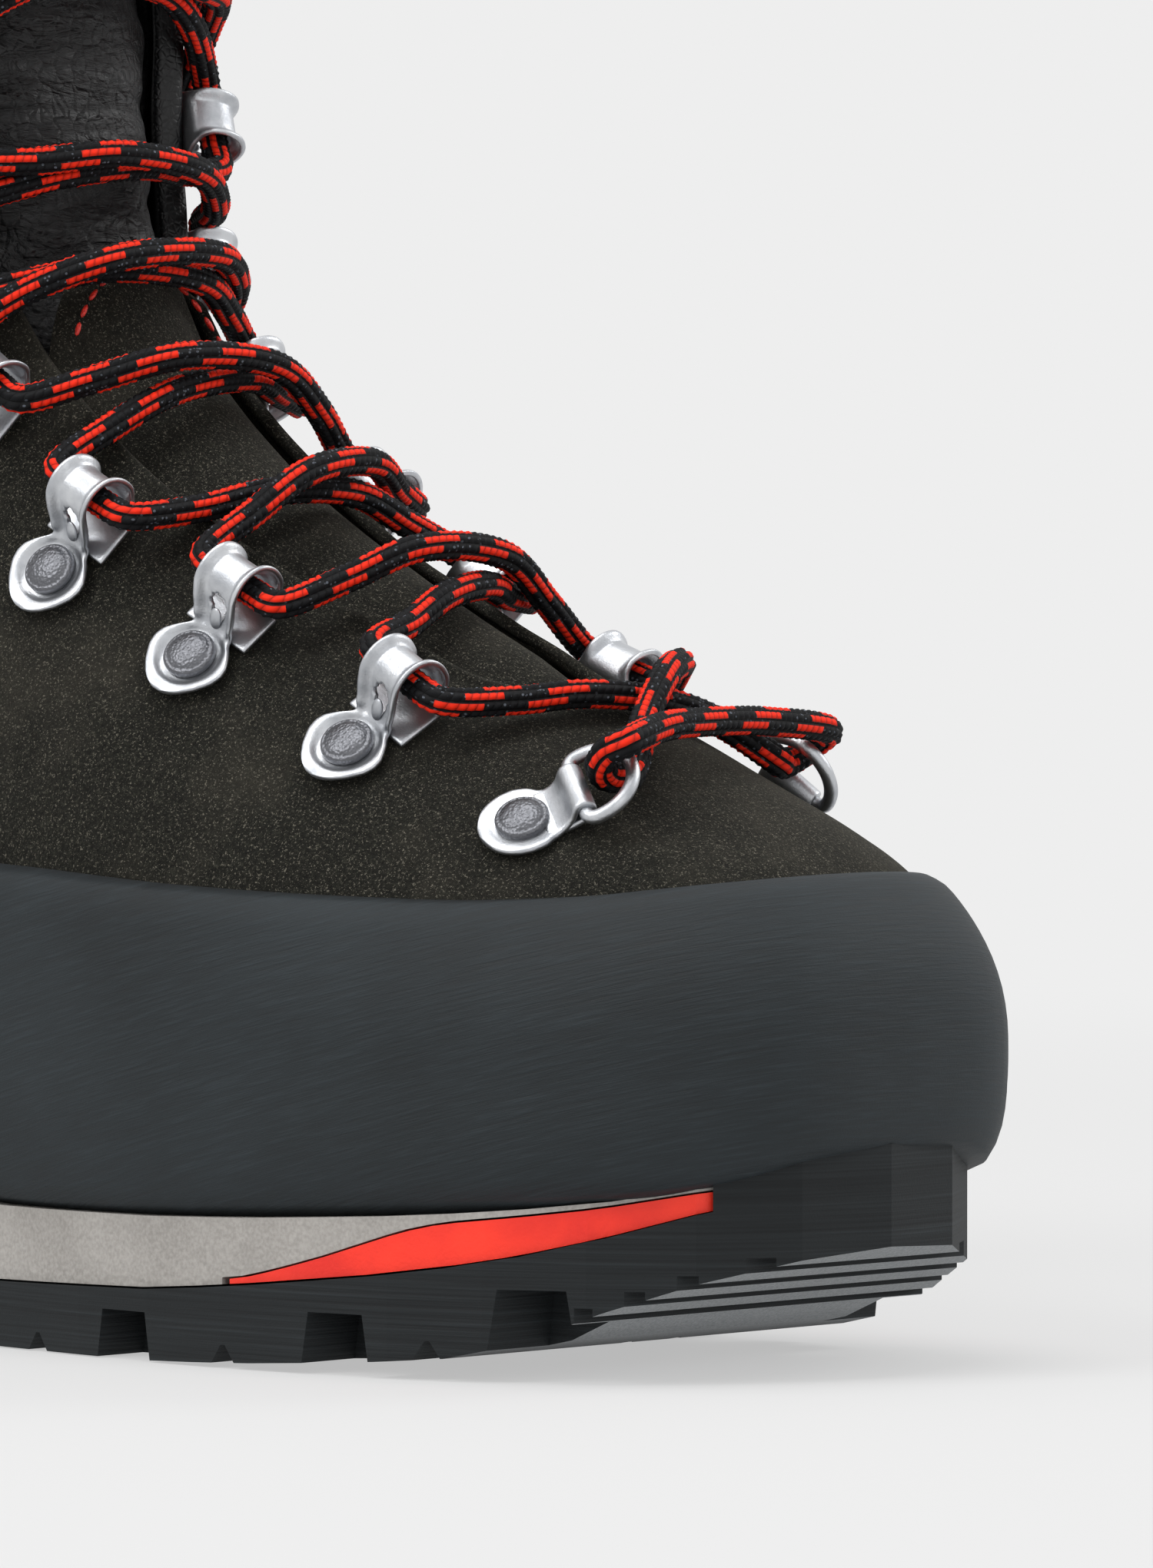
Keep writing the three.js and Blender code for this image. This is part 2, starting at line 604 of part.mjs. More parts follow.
const foldRadius = ringWireRadius + hingeGap;
const foldWidth = (ringHalfWidth - ringCorner) * 2 - gap;

function ringClip(frame) {
  const outline = Array.from({ length: 14 }, (_, i) => {
    const a = ((i + 0.5) / 14) * Math.PI * 2;
    return [Math.cos(a) * 6.6, Math.sin(a) * 6.6];
  });
  const plate = placed(plateGeometry(outline, metalThickness, holeRadius), frame);
  const fold = eyeOutline(3.6, foldReach, foldRadius, plateGap);
  return plate.add(placed(strip(fold.points, [roundHole(foldReach, fold.centre, foldRadius)], foldWidth), frame));
}

const foldHeight = plateGap + foldRadius + metalThickness;

// The ring's centre line: a straight bar in the fold and a round bow, in the fold's own x and y.
function ringLine() {
  const corner = ringCorner;
  const line = new THREE.Shape();
  line.moveTo(0, -ringHalfWidth + corner);
  line.lineTo(0, ringHalfWidth - corner);
  line.absarc(corner, ringHalfWidth - corner, corner, Math.PI, Math.PI / 2, true);
  line.lineTo(ringReach - ringHalfWidth, ringHalfWidth);
  line.absarc(ringReach - ringHalfWidth, 0, ringHalfWidth, Math.PI / 2, -Math.PI / 2, true);
  line.lineTo(corner, -ringHalfWidth);
  line.absarc(corner, -ringHalfWidth + corner, corner, -Math.PI / 2, -Math.PI, true);
  return line;
}

function ring(frame) {
  const line = ringLine();
  const torus = new THREE.TorusGeometry(1, 0.5, 6, 22);
  const { position, uv } = torus.attributes;
  for (let i = 0; i < position.count; i += 1) {
    const at = uv.getX(i) % 1;
    const a = uv.getY(i) * Math.PI * 2;
    const point = line.getPointAt(at);
    const tangent = line.getTangentAt(at);
    const reach = ringWireRadius * Math.cos(a);
    position.setXYZ(i, point.x - tangent.y * reach, point.y + tangent.x * reach, ringWireRadius * Math.sin(a));
  }
  torus.rotateY(-ringTilt);
  torus.translate(foldReach, 0, foldHeight);
  return placed(torus, frame);
}

const frames = rows.map((row) => ({
  name: row.name,
  outer: rivetFrame(row.outer, 1),
  inner: rivetFrame(row.inner, -1),
}));

function makeHardware() {
  for (const row of frames) {
    for (const side of ["outer", "inner"]) {
      const frame = row[side];
      const isRing = row.name === "ring";
      add(isRing ? `ring_clip_${side}` : `hook_${row.name}_${side}`, isRing ? ringClip(frame) : hook(frame), "steel");
      add(`rivet_${row.name}_${side}`, rivet(frame), "pewter");
      if (isRing) add(`toe_ring_${side}`, ring(frame), "steel");
    }
  }
}

// ---- lace ----
function tube(points, radius, sides, steps) {
  const curve = new THREE.CatmullRomCurve3(points, false, "centripetal");
  const section = new THREE.Shape(
    Array.from({ length: sides }, (_, i) => {
      const a = (i / sides) * Math.PI * 2;
      return new THREE.Vector2(Math.cos(a) * radius, Math.sin(a) * radius);
    }),
  );
  return solid(new THREE.ExtrudeGeometry(section, { steps, bevelEnabled: false, extrudePath: curve }));
}

const other = { outer: "inner", inner: "outer" };
const knotSection = 13.6;
const knotOffset = 6.4;
const knotHalf = [5, 6.6, 5.6]; // half the knot's depth, width and height
const laceLoopRadius = ringWireRadius + laceRadius + 1.2;
const laceClear = laceRadius * 2 + 1.05; // between the centres of two strands that cross
const crossHeights = [0, 3.6, 3.4, 3.4, 3.6, 3.6, 3.6];

function ringApex(frame) {
  return frame.at(foldReach + ringReach * Math.cos(ringTilt), 0, foldHeight + ringReach * Math.sin(ringTilt));
}

// Where one half of the lace goes: from the middle of the bar at the toe, round its ring, then from side to side
// up the hooks to the knot. The half that starts at the outer ring crosses over the other one.
function laceRoute(startSide) {
  const over = startSide === "outer";
  let side = startSide;
  const first = frames[0][side];
  const apex = ringApex(first);
  const bar = onUpper(3.82, 0, laceRadius + 4.2);
  bar.y = ((over ? -1 : 1) * gap) / 2;
  const points = [bar];
  const top = apex.clone().addScaledVector(first.z, laceLoopRadius);
  points.push(bar.clone().lerp(top, 0.5).add(new THREE.Vector3(0, 0, 0.8)));
  for (const degrees of [90, 130, 175, 220, 262]) {
    const a = THREE.MathUtils.degToRad(degrees);
    points.push(
      apex.clone().addScaledVector(first.x, Math.cos(a) * laceLoopRadius).addScaledVector(first.z, Math.sin(a) * laceLoopRadius)
        .addScaledVector(first.y, ((degrees - 90) / 172) * 2.4),
    );
  }
  for (let k = 1; k < frames.length; k += 1) {
    side = other[side];
    const frame = frames[k][side];
    const mouth = tunnelLength / 2;
    const lead = 3.7;
    const lower = frame.at(tunnelReach + 0.5, -mouth - lead, tunnelHeight);
    crossing(points, lower, k, over);
    points.push(lower, frame.at(tunnelReach, -mouth * 0.9, tunnelHeight), frame.at(tunnelReach, mouth * 0.9, tunnelHeight));
    points.push(frame.at(tunnelReach + 0.5, mouth + lead, tunnelHeight));
  }
  const sign = side === "outer" ? 1 : -1;
  return points.concat(laid(knotEntry, sign));
}

function knotCentre() {
  const centre = onUpper(knotSection, 0, knotOffset);
  centre.y = 0;
  return centre;
}

// Points that carry a strand over the tongue, and one strand over the other in the middle.
function crossing(points, to, row, over) {
  const from = points[points.length - 1].clone();
  for (const share of [0.22, 0.4, 0.6, 0.78]) {
    const hit = nearest(from.clone().lerp(to, share), row);
    const lift = over ? laceClear * Math.sin(Math.PI * share) ** (row === 1 ? 3 : 1.3) : 0;
    points.push(hit.point.addScaledVector(hit.normal, crossHeights[row] + lift));
  }
}

// The foot of a point on the upper's surface, near the throat's middle.
function nearest(target, row) {
  let [section, angle, size] = [rows[row].outer[0] - 0.5, 0, 0.8];
  for (let pass = 0; pass < 14; pass += 1) {
    let best = null;
    for (let i = -2; i <= 2; i += 1) {
      for (let j = -2; j <= 2; j += 1) {
        const [s, a] = [Math.max(section + (i * size) / 2, 1), angle + (j * size) / 2];
        const distance = bare(s, a).distanceTo(target);
        if (!best || distance < best.distance) best = { distance, s, a };
      }
    }
    [section, angle, size] = [best.s, best.a, size * 0.6];
  }
  return { point: bare(section, angle), normal: outward(section, angle) };
}

// The free parts of the bow, as section, angle and offset from the upper.
const knotEntry = [[13, 25, 4.6], [13.25, 14, 4.7], [13.36, 4.9, 4.7]];
const bowLoop = [
  [13.84, 4.9, 9.4], [13.95, 20, 8.7], [14, 36, 7], [13.95, 50, 5.4], [13.75, 64, 4.4], [13.4, 73, 4.2], [13, 77, 4.2],
  [12.75, 72, 4.2], [12.85, 62, 4.4], [13.15, 52, 5], [13.4, 42, 6.4], [13.45, 31, 8], [13.38, 20, 8.8], [13.36, 4.9, 9.4],
];
const laceEnd = [
  [13.84, 4.9, 4.7], [14.1, 20, 4], [14.4, 36, 3.6], [14.5, 52, 3.4], [14.45, 68, 3.4], [14.2, 84, 3.2], [13.7, 98, 3.2],
  [13, 108, 3.2], [12.3, 114, 3.2], [11.6, 118, 3.2],
];
const agletLength = 16;
const agletRadius = laceRadius + 0.1;

function laid(list, sign) {
  return list.map(([section, degrees, offset]) => onUpper(section, sign * THREE.MathUtils.degToRad(degrees), offset));
}

function makeBow() {
  const centre = knotCentre();
  const knot = new THREE.SphereGeometry(1, 10, 7);
  knot.scale(...knotHalf);
  knot.translate(centre.x, centre.y, centre.z);
  add("bow_knot", solid(knot), "lace");
  for (const [side, sign] of [["outer", 1], ["inner", -1]]) {
    add(`bow_loop_${side}`, tube(laid(bowLoop, sign), laceRadius, 6, 34), "lace");
    const end = laid(laceEnd, sign);
    add(`lace_end_${side}`, tube(end, laceRadius, 6, 28), "lace");
    const tip = end[end.length - 1];
    const heading = tip.clone().sub(end[end.length - 2]).normalize();
    const aglet = new THREE.CylinderGeometry(agletRadius, agletRadius, agletLength, 8);
    aglet.applyQuaternion(new THREE.Quaternion().setFromUnitVectors(new THREE.Vector3(0, 1, 0), heading));
    const middle = tip.addScaledVector(heading, agletLength / 2 + gap);
    aglet.translate(middle.x, middle.y, middle.z);
    add(`aglet_${side}`, solid(aglet), "plastic");
  }
}

// ---- heel ----
const backstayHalf = 9; // degrees
const backstayThickness = 1.4;
const loopHeight = 34;
const loopDepth = 8.8;
const loopWidth = 16;
const webbingThickness = 1.7;
const loopSection = 14.3;

function loopFrame() {
  const origin = onUpper(loopSection, Math.PI, gap + backstayThickness + gap + loopDepth / 2);
  origin.y = 0;
  const z = new THREE.Vector3(-1, 0, 0);
  return { origin, x: new THREE.Vector3(0, -1, 0), y: new THREE.Vector3(0, 0, 1), z };
}

function makeHeel() {
  const radius = loopDepth / 2;
  add("backstay", sheet({
    from: 12.9, to: 14.72, left: () => 180 - backstayHalf, right: () => 180 + backstayHalf,
    inside: () => gap, outside: () => gap + backstayThickness, along: 10, across: 4,
  }), "leather");
  const oval = (shape, r) => {
    shape.absarc(0, loopHeight - radius * 2, r, 0, Math.PI);
    shape.absarc(0, 0, r, Math.PI, Math.PI * 2);
    return shape;
  };
  const outline = oval(new THREE.Shape(), radius);
  outline.holes.push(oval(new THREE.Path(), radius - webbingThickness));
  const loop = new THREE.ExtrudeGeometry(outline, { depth: loopWidth, bevelEnabled: false, curveSegments: 6 });
  loop.translate(0, 0, -loopWidth / 2);
  loop.rotateY(Math.PI / 2);
  loop.rotateZ(Math.PI);
  loop.rotateX(Math.PI);
  const frame = loopFrame();
  const turned = new THREE.Matrix4().makeBasis(frame.x, frame.y, frame.z).setPosition(frame.origin);
  add("pull_loop", solid(loop.applyMatrix4(turned)), "webbing");
}

makeMidsole();
makeOutsole();
makeFootSupport();
makeUpper(frames.flatMap((row) => [rivetHole(row.outer), rivetHole(row.inner)]));
makeTongue();
makeHardware();
add("lace_outer", tube(laceRoute("outer"), laceRadius, 6, 108), "lace");
add("lace_inner", tube(laceRoute("inner"), laceRadius, 6, 108), "lace");
makeBow();
makeHeel();

export default boot;
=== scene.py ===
import math
import bmesh
import bpy
import numpy as np
from mathutils import Matrix, Vector, noise
from mathutils.bvhtree import BVHTree


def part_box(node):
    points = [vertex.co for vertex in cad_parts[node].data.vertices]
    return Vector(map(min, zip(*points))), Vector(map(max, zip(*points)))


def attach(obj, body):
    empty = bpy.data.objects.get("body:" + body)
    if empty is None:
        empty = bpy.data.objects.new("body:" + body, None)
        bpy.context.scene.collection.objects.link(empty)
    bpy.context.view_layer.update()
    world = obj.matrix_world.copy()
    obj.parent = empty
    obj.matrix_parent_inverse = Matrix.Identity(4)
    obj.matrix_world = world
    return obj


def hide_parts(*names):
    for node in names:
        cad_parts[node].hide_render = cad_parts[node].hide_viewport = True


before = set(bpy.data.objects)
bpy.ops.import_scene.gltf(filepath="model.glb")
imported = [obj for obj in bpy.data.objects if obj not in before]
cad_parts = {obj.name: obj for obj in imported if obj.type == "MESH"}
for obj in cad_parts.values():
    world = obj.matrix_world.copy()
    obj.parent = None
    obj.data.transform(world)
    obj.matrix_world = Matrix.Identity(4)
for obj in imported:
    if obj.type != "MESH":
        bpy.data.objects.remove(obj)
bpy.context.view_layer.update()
mm = 0.001  # shapes are worked out in millimetres and finished in metres

# camera, floor and light
camera = {"azimuth": 42, "elevation": 1.3, "distance": 1400, "lens": 222.35, "looksAt": (75, -20, 80),
          "right": 22.78, "up": 3.33}
studio = {"backdrop": "#eeeeee", "floorSize": 9000, "near": 0.56, "key": 15, "fill": 2, "rim": 9, "top": 12}


def makeCamera():
    turn, tilt = math.radians(camera["azimuth"]), math.radians(camera["elevation"])
    back = Vector((math.sin(turn) * math.cos(tilt), -math.cos(turn) * math.cos(tilt), math.sin(tilt)))
    right = Vector((math.cos(turn), math.sin(turn), 0))
    up = back.cross(right)
    aim = Vector(camera["looksAt"]) + right * camera["right"] + up * camera["up"]
    data = bpy.data.cameras.new("camera")
    data.lens, data.sensor_width, data.sensor_fit = camera["lens"], 36, "AUTO"
    data.clip_start, data.clip_end = 0.05, 50
    view = bpy.data.objects.new("camera", data)
    view.matrix_world = Matrix.Translation((aim + back * camera["distance"]) * mm) @ Matrix(
        (right, up, back)).transposed().to_4x4()
    bpy.context.collection.objects.link(view)
    bpy.context.scene.camera = view


def linear(code):
    # sRGB hex to linear colour
    parts = [int(code[i:i + 2], 16) / 255 for i in (1, 3, 5)]
    return tuple(p / 12.92 if p <= 0.04045 else ((p + 0.055) / 1.055) ** 2.4 for p in parts) + (1.0,)


def node(material, kind, links=(), **settings):
    # adds one node: settings name its properties or input sockets, links are (socket, from node, output)
    tree = material.node_tree
    made = tree.nodes.new("ShaderNode" + kind)
    for key, value in settings.items():
        if key in made.inputs and not hasattr(made, key):
            made.inputs[key].default_value = value
        elif hasattr(made, key):
            setattr(made, key, value)
        else:
            made.inputs[key.replace("_", " ")].default_value = value
    for socket, source, output in links:
        tree.links.new(source.outputs[output], made.inputs[socket])
    return made


def ramp(material, source, output, stops):
    # a colour ramp over stops of (position, colour or number)
    made = node(material, "ValToRGB", [(0, source, output)])
    band = made.color_ramp
    while len(band.elements) < len(stops):
        band.elements.new(0.5)
    for element, (position, value) in zip(band.elements, stops):
        element.position = position
        element.color = linear(value) if isinstance(value, str) else (value, value, value, 1)
    return made


def newMaterial(name, roughness=0.6, metallic=0.0, ior=1.5, **sockets):
    material = bpy.data.materials.new(name)
    material.use_nodes = True
    tree = material.node_tree
    tree.nodes.clear()
    shader = node(material, "BsdfPrincipled")
    shader.inputs["Roughness"].default_value = roughness
    shader.inputs["Metallic"].default_value = metallic
    shader.inputs["IOR"].default_value = ior
    for key, value in sockets.items():
        shader.inputs[key.replace("_", " ")].default_value = value
    out = node(material, "OutputMaterial", [("Surface", shader, "BSDF")])
    where = node(material, "TexCoord")
    return material, shader, where


def connect(material, source, output, target, socket):
    material.node_tree.links.new(source.outputs[output], target.inputs[socket])


def bump(material, shader, height, output, distance, strength=1.0, before=None):
    # height in the texture times distance in metres
    links = [("Height", height, output)] + ([("Normal", before, "Normal")] if before else [])
    made = node(material, "Bump", links)
    made.inputs["Distance"].default_value = distance
    made.inputs["Strength"].default_value = strength
    connect(material, made, "Normal", shader, "Normal")
    return made


def areaLight(name, place, target, size, power, spread=180):
    data = bpy.data.lights.new(name, "AREA")
    data.shape, data.size, data.energy = "DISK", size, power
    data.spread = math.radians(spread)
    lamp = bpy.data.objects.new(name, data)
    lamp.location = place
    lamp.rotation_euler = (Vector(target) - Vector(place)).to_track_quat("-Z", "Y").to_euler()
    bpy.context.collection.objects.link(lamp)
    return lamp


def makeStudio():
    world = bpy.data.worlds.new("studio")
    world.use_nodes = True
    background = world.node_tree.nodes["Background"]
    background.inputs["Color"].default_value = linear(studio["backdrop"])
    background.inputs["Strength"].default_value = 1.0
    bpy.context.scene.world = world
    bpy.context.scene.view_settings.view_transform = "Standard"
    bm = bmesh.new()
    bmesh.ops.create_grid(bm, x_segments=2, y_segments=2, size=studio["floorSize"] / 2 * mm)
    bmesh.ops.translate(bm, verts=bm.verts, vec=(0, 0, -0.0002))
    mesh = bpy.data.meshes.new("floor")
    bm.to_mesh(mesh)
    floor = bpy.data.objects.new("floor", mesh)
    bpy.context.collection.objects.link(floor)
    # a sweep that takes a faint shadow
    paper, shader, where = newMaterial("paper backdrop, lit from below", 1.0)
    shader.inputs["Specular IOR Level"].default_value = 0
    shader.inputs["Emission Color"].default_value = linear(studio["backdrop"])
    away = node(paper, "VectorMath", [(0, where, "Object")], operation="LENGTH")
    fade = node(paper, "MapRange", [("Value", away, "Value")], interpolation_type="SMOOTHSTEP",
                From_Min=0.3, From_Max=1.2)
    grey = ramp(paper, fade, "Result", [(0.0, "#878787"), (1.0, "#000000")])
    connect(paper, grey, "Color", shader, "Base Color")
    glow = node(paper, "MapRange", [("Value", fade, "Result")], To_Min=studio["near"])
    connect(paper, glow, "Result", shader, "Emission Strength")
    mesh.materials.append(paper)
    areaLight("key", (-0.35, -1.5, 1.5), (0.02, 0, 0.1), 0.9, studio["key"])
    areaLight("fill", (1.7, -0.7, 0.7), (0.06, 0, 0.08), 0.9, studio["fill"])
    areaLight("rim", (0.9, 1.5, 1.2), (0.05, 0, 0.1), 0.8, studio["rim"])
    areaLight("top", (0.1, -0.2, 1.7), (0.05, 0, 0.05), 1.0, studio["top"])


makeCamera()
makeStudio()
print("camera and studio made")

# the last: the surface that the upper is bent to
last = {
    "stations": [(146.2, 46, 146.2, 46, 0, 0, 5, 2, 2, 0.5),
                 (144.6, 58.5, 144.6, 34, 19.5, 17, 5, 2.2, 2.6, 0.5),
                 (138.5, 68.5, 139, 26, 30.5, 27, 5, 2.2, 3.4, 0.48),
                 (125.5, 78, 127, 20, 39.5, 35.5, 4.5, 2.1, 4, 0.46),
                 (104, 89, 106, 15.5, 46, 42, 3.5, 1.9, 4.4, 0.42),
                 (73, 104, 76, 13.5, 49, 45.5, 2, 1.8, 4.6, 0.38),
                 (44, 119, 44, 13, 48.5, 45, 0.5, 1.85, 4.6, 0.38),
                 (21, 134.5, 10, 14, 45.5, 42, 0, 2, 4.6, 0.4),
                 (6, 149, -30, 16, 42, 39, 0, 2.1, 4.4, 0.42),
                 (-2, 160, -78, 18, 38.5, 38, 0, 2.3, 4.2, 0.46),
                 (-7, 170, -131, 13, 37.5, 37.5, 0, 2.5, 3.8, 0.5),
                 (-10, 180, -147.4, 38, 37.5, 37.5, 0, 2.7, 3, 0.54),
                 (-12, 190, -147.4, 74, 38, 38, 0, 2.7, 2.3, 0.58),
                 (-13, 200, -141, 125, 39, 39, 0, 2.7, 2, 0.6),
                 (-13.5, 210, -135.5, 165, 40, 40, 0, 2.6, 2, 0.58),
                 (-13, 222, -132, 205, 41, 41, 0, 2.6, 2, 0.58)],
    "heel": (-105, 0), "toe": (90, 4), "sections": 300, "angles": 480,
}
stationRows = np.array(last["stations"], float)
lastEnd = len(stationRows) - 1


def throughRows(at):
    rows = np.vstack([2 * stationRows[0] - stationRows[1], stationRows, 2 * stationRows[-1]
                      - stationRows[-2]])
    i = np.clip(np.floor(at).astype(int), 0, lastEnd - 1)
    f = (at - i)[..., None]
    p0, p1, p2, p3 = rows[i], rows[i + 1], rows[i + 2], rows[i + 3]
    return 0.5 * (2 * p1 + (p2 - p0) * f + (2 * p0 - 5 * p1 + 4 * p2 - p3) * f * f
                  + (3 * p1 - p0 - 3 * p2 + p3) * f ** 3)


def bare(section, angle):
    # points of the bare last; angle 0 is the top or front and +90 degrees the outer side
    section, angle = np.broadcast_arrays(np.asarray(section, float), np.asarray(angle, float))
    ax, az, bx, bz, outer, inner, shift, front, rear, widest = np.moveaxis(throughRows(section), -1, 0)
    c, s = np.cos(angle), np.sin(angle)
    rise = np.abs(c) ** (2 / np.where(c >= 0, front, rear)) * np.where(c >= 0, 1 - widest, -widest) + widest
    side = np.abs(s) ** (2 / np.where(c >= 0, front, rear)) * np.where(s >= 0, -outer, inner) + shift
    return np.stack([bx + (ax - bx) * rise, side, bz + (az - bz) * rise], -1)


def outward(section, angle):
    step = 1e-3
    along = bare(np.minimum(section + step, lastEnd), angle) - bare(np.maximum(section - step, 1e-3), angle)
    around = bare(section, angle + step) - bare(section, angle - step)
    normal = np.cross(along, around)
    return normal / np.linalg.norm(normal, axis=-1, keepdims=True)


def onUpper(section, degrees, offset=0.0):
    section, angle = np.broadcast_arrays(np.asarray(section, float), np.radians(np.asarray(degrees, float)))
    return bare(section, angle) + outward(section, angle) * np.asarray(offset, float)[..., None]


def gridMesh(columns, rows, place, uvSize=None):
    # a bmesh grid moved to where place(u, v) says, with u and v from 0 to 1 as arrays
    bm = bmesh.new()
    bmesh.ops.create_grid(bm, x_segments=columns, y_segments=rows, size=0.5)
    uv = np.array([vert.co[:2] for vert in bm.verts]) + 0.5
    if uvSize:
        layer = bm.loops.layers.uv.new("surface")
        for face in bm.faces:
            for corner in face.loops:
                x, y = corner.vert.co[:2]
                corner[layer].uv = ((x + 0.5) * uvSize[0], (y + 0.5) * uvSize[1])
    for vert, point in zip(bm.verts, place(uv[:, 0], uv[:, 1])):
        vert.co = point
    return bm


def lastGrid(u, v):
    return bare(0.02 + (lastEnd - 0.02) * v ** 1.15, (u * 2 - 1) * math.pi)


skinMesh = gridMesh(last["angles"], last["sections"], lastGrid)
skinMesh.normal_update()
skinMesh.faces.ensure_lookup_table()
if (skinMesh.faces[len(skinMesh.faces) // 2].normal).dot(
        skinMesh.faces[len(skinMesh.faces) // 2].calc_center_median() - Vector((0, 0, 60))) < 0:
    bmesh.ops.reverse_faces(skinMesh, faces=skinMesh.faces)
    skinMesh.normal_update()
    skinMesh.faces.ensure_lookup_table()
skinTree = BVHTree.FromBMesh(skinMesh)


def onSkin(point, offset=0.0):
    # the nearest point of the last, moved out along its smoothed normal
    spot, _, index, _ = skinTree.find_nearest(Vector(point))
    normal = Vector()
    for vert in skinMesh.faces[index].verts:
        normal += vert.normal / ((vert.co - spot).length + 0.05)
    return spot + normal.normalized() * offset


def curveAt(table, x, column=1):
    # a smooth line through rows of x and heights
    xs = np.array([row[0] for row in table], float)
    ys = np.array([row[column] for row in table], float)
    slopes = np.gradient(ys, xs)
    x = np.clip(np.asarray(x, float), xs[0], xs[-1])
    i = np.clip(np.searchsorted(xs, x) - 1, 0, len(xs) - 2)
    h = xs[i + 1] - xs[i]
    t = (x - xs[i]) / h
    return ((2 * t ** 3 - 3 * t ** 2 + 1) * ys[i] + (t ** 3 - 2 * t ** 2 + t) * h * slopes[i]
            + (3 * t ** 2 - 2 * t ** 3) * ys[i + 1] + (t ** 3 - t ** 2) * h * slopes[i + 1])


def smoothStep(t):
    t = np.clip(t, 0, 1)
    return t * t * (3 - 2 * t)


def finishPiece(name, bm, materials, body, replaced=(), modifiers=(), smooth=True):
    # bm in millimetres becomes a finished object at the origin
    bmesh.ops.scale(bm, verts=bm.verts, vec=(mm, mm, mm))
    mesh = bpy.data.meshes.new(name)
    bm.to_mesh(mesh)
    bm.free()
    for face in mesh.polygons:
        face.use_smooth = smooth
    for material in materials if isinstance(materials, (list, tuple)) else [materials]:
        mesh.materials.append(material)
    piece = bpy.data.objects.new(name, mesh)
    bpy.context.collection.objects.link(piece)
    for kind, settings in modifiers:
        added = piece.modifiers.new(kind.lower(), kind)
        for key, value in settings.items():
            setattr(added, key, value)
    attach(piece, body)
    if replaced:
        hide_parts(*replaced)
    return piece


def faceOut(bm):
    bmesh.ops.remove_doubles(bm, verts=bm.verts, dist=1e-4)
    bmesh.ops.recalc_face_normals(bm, faces=bm.faces)


# lacing: where each hook, ring and strand is
lacing = {
    "rows": [  # section and angle of the tunnel or ring, then of its rivet
        {"outer": (3.9, 36, 4.07, 43), "inner": (4.2, 41, 4.36, 48)},
        {"outer": (4.93, 30, 5.08, 43.2), "inner": (5.2, 35, 5.32, 48)},
        {"outer": (5.97, 30.8, 6.1, 43.7), "inner": (5.97, 30.5, 6.1, 43.5)},
        {"outer": (7.05, 34.5, 7.21, 48), "inner": (6.95, 31, 7.1, 44.5)},
        {"outer": (8.5, 35.5, 8.63, 48.5), "inner": (8.5, 34.5, 8.63, 47.5)},
        {"outer": (10.3, 36, 10.38, 49), "inner": (10.3, 36, 10.38, 49)},
        {"outer": (11.95, 37.5, 11.97, 50), "inner": (11.95, 37.5, 11.97, 50)}],
    "radius": 2.1, "tunnelReach": 12.1, "tunnelHalf": 4.3, "tunnelHeight": 5.5, "lead": 3.7,
    "foldReach": 8.6, "foldHeight": 3.4, "ringReach": 8.6, "ringTilt": 12, "loop": 4.35,
    "bar": (3.82, 6.3), "crossHeights": (0, 3.6, 3.4, 3.4, 3.6, 3.6, 3.6), "clear": 5.25,
    "knotEntry": [(13, 25, 4.6), (13.25, 14, 4.7), (13.36, 4.9, 4.7)],
    "knot": {"section": 13.6, "offset": 6.4, "turns": 2.6, "reach": 3.1, "half": 4.1},
}
sides = {"outer": 1, "inner": -1}


def rivetFrame(row, sign):
    # axes on the leather: x to the throat, y up the throat, z out of the leather
    section, angle, rivetSection, rivetAngle = row
    origin = Vector(onUpper(rivetSection, sign * rivetAngle))
    z = Vector(outward(rivetSection, math.radians(sign * rivetAngle)))
    x = Vector(onUpper(section, sign * angle)) - origin
    x = (x - z * x.dot(z)).normalized()
    return {"origin": origin, "x": x, "y": z.cross(x) * sign, "z": z}


def inFrame(f, a, b, c):
    return f["origin"] + f["x"] * a + f["y"] * b + f["z"] * c


def frameMatrix(f):
    return Matrix.Translation(f["origin"]) @ Matrix((f["x"], f["y"], f["z"])).transposed().to_4x4()


rivetFrames = [{side: rivetFrame(row[side], sides[side]) for side in sides} for row in lacing["rows"]]


def nearestOnUpper(target, row):
    section, angle, size = lacing["rows"][row]["outer"][0] - 0.5, 0.0, 0.8
    steps = np.array([(i, j) for i in range(-2, 3) for j in range(-2, 3)]) / 2
    for turn in range(14):
        s = np.maximum(section + steps[:, 0] * size, 1)
        a = angle + steps[:, 1] * size
        best = np.linalg.norm(bare(s, a) - np.array(target), axis=1).argmin()
        section, angle, size = s[best], a[best], size * 0.6
    return Vector(bare(section, angle)), Vector(outward(section, angle))


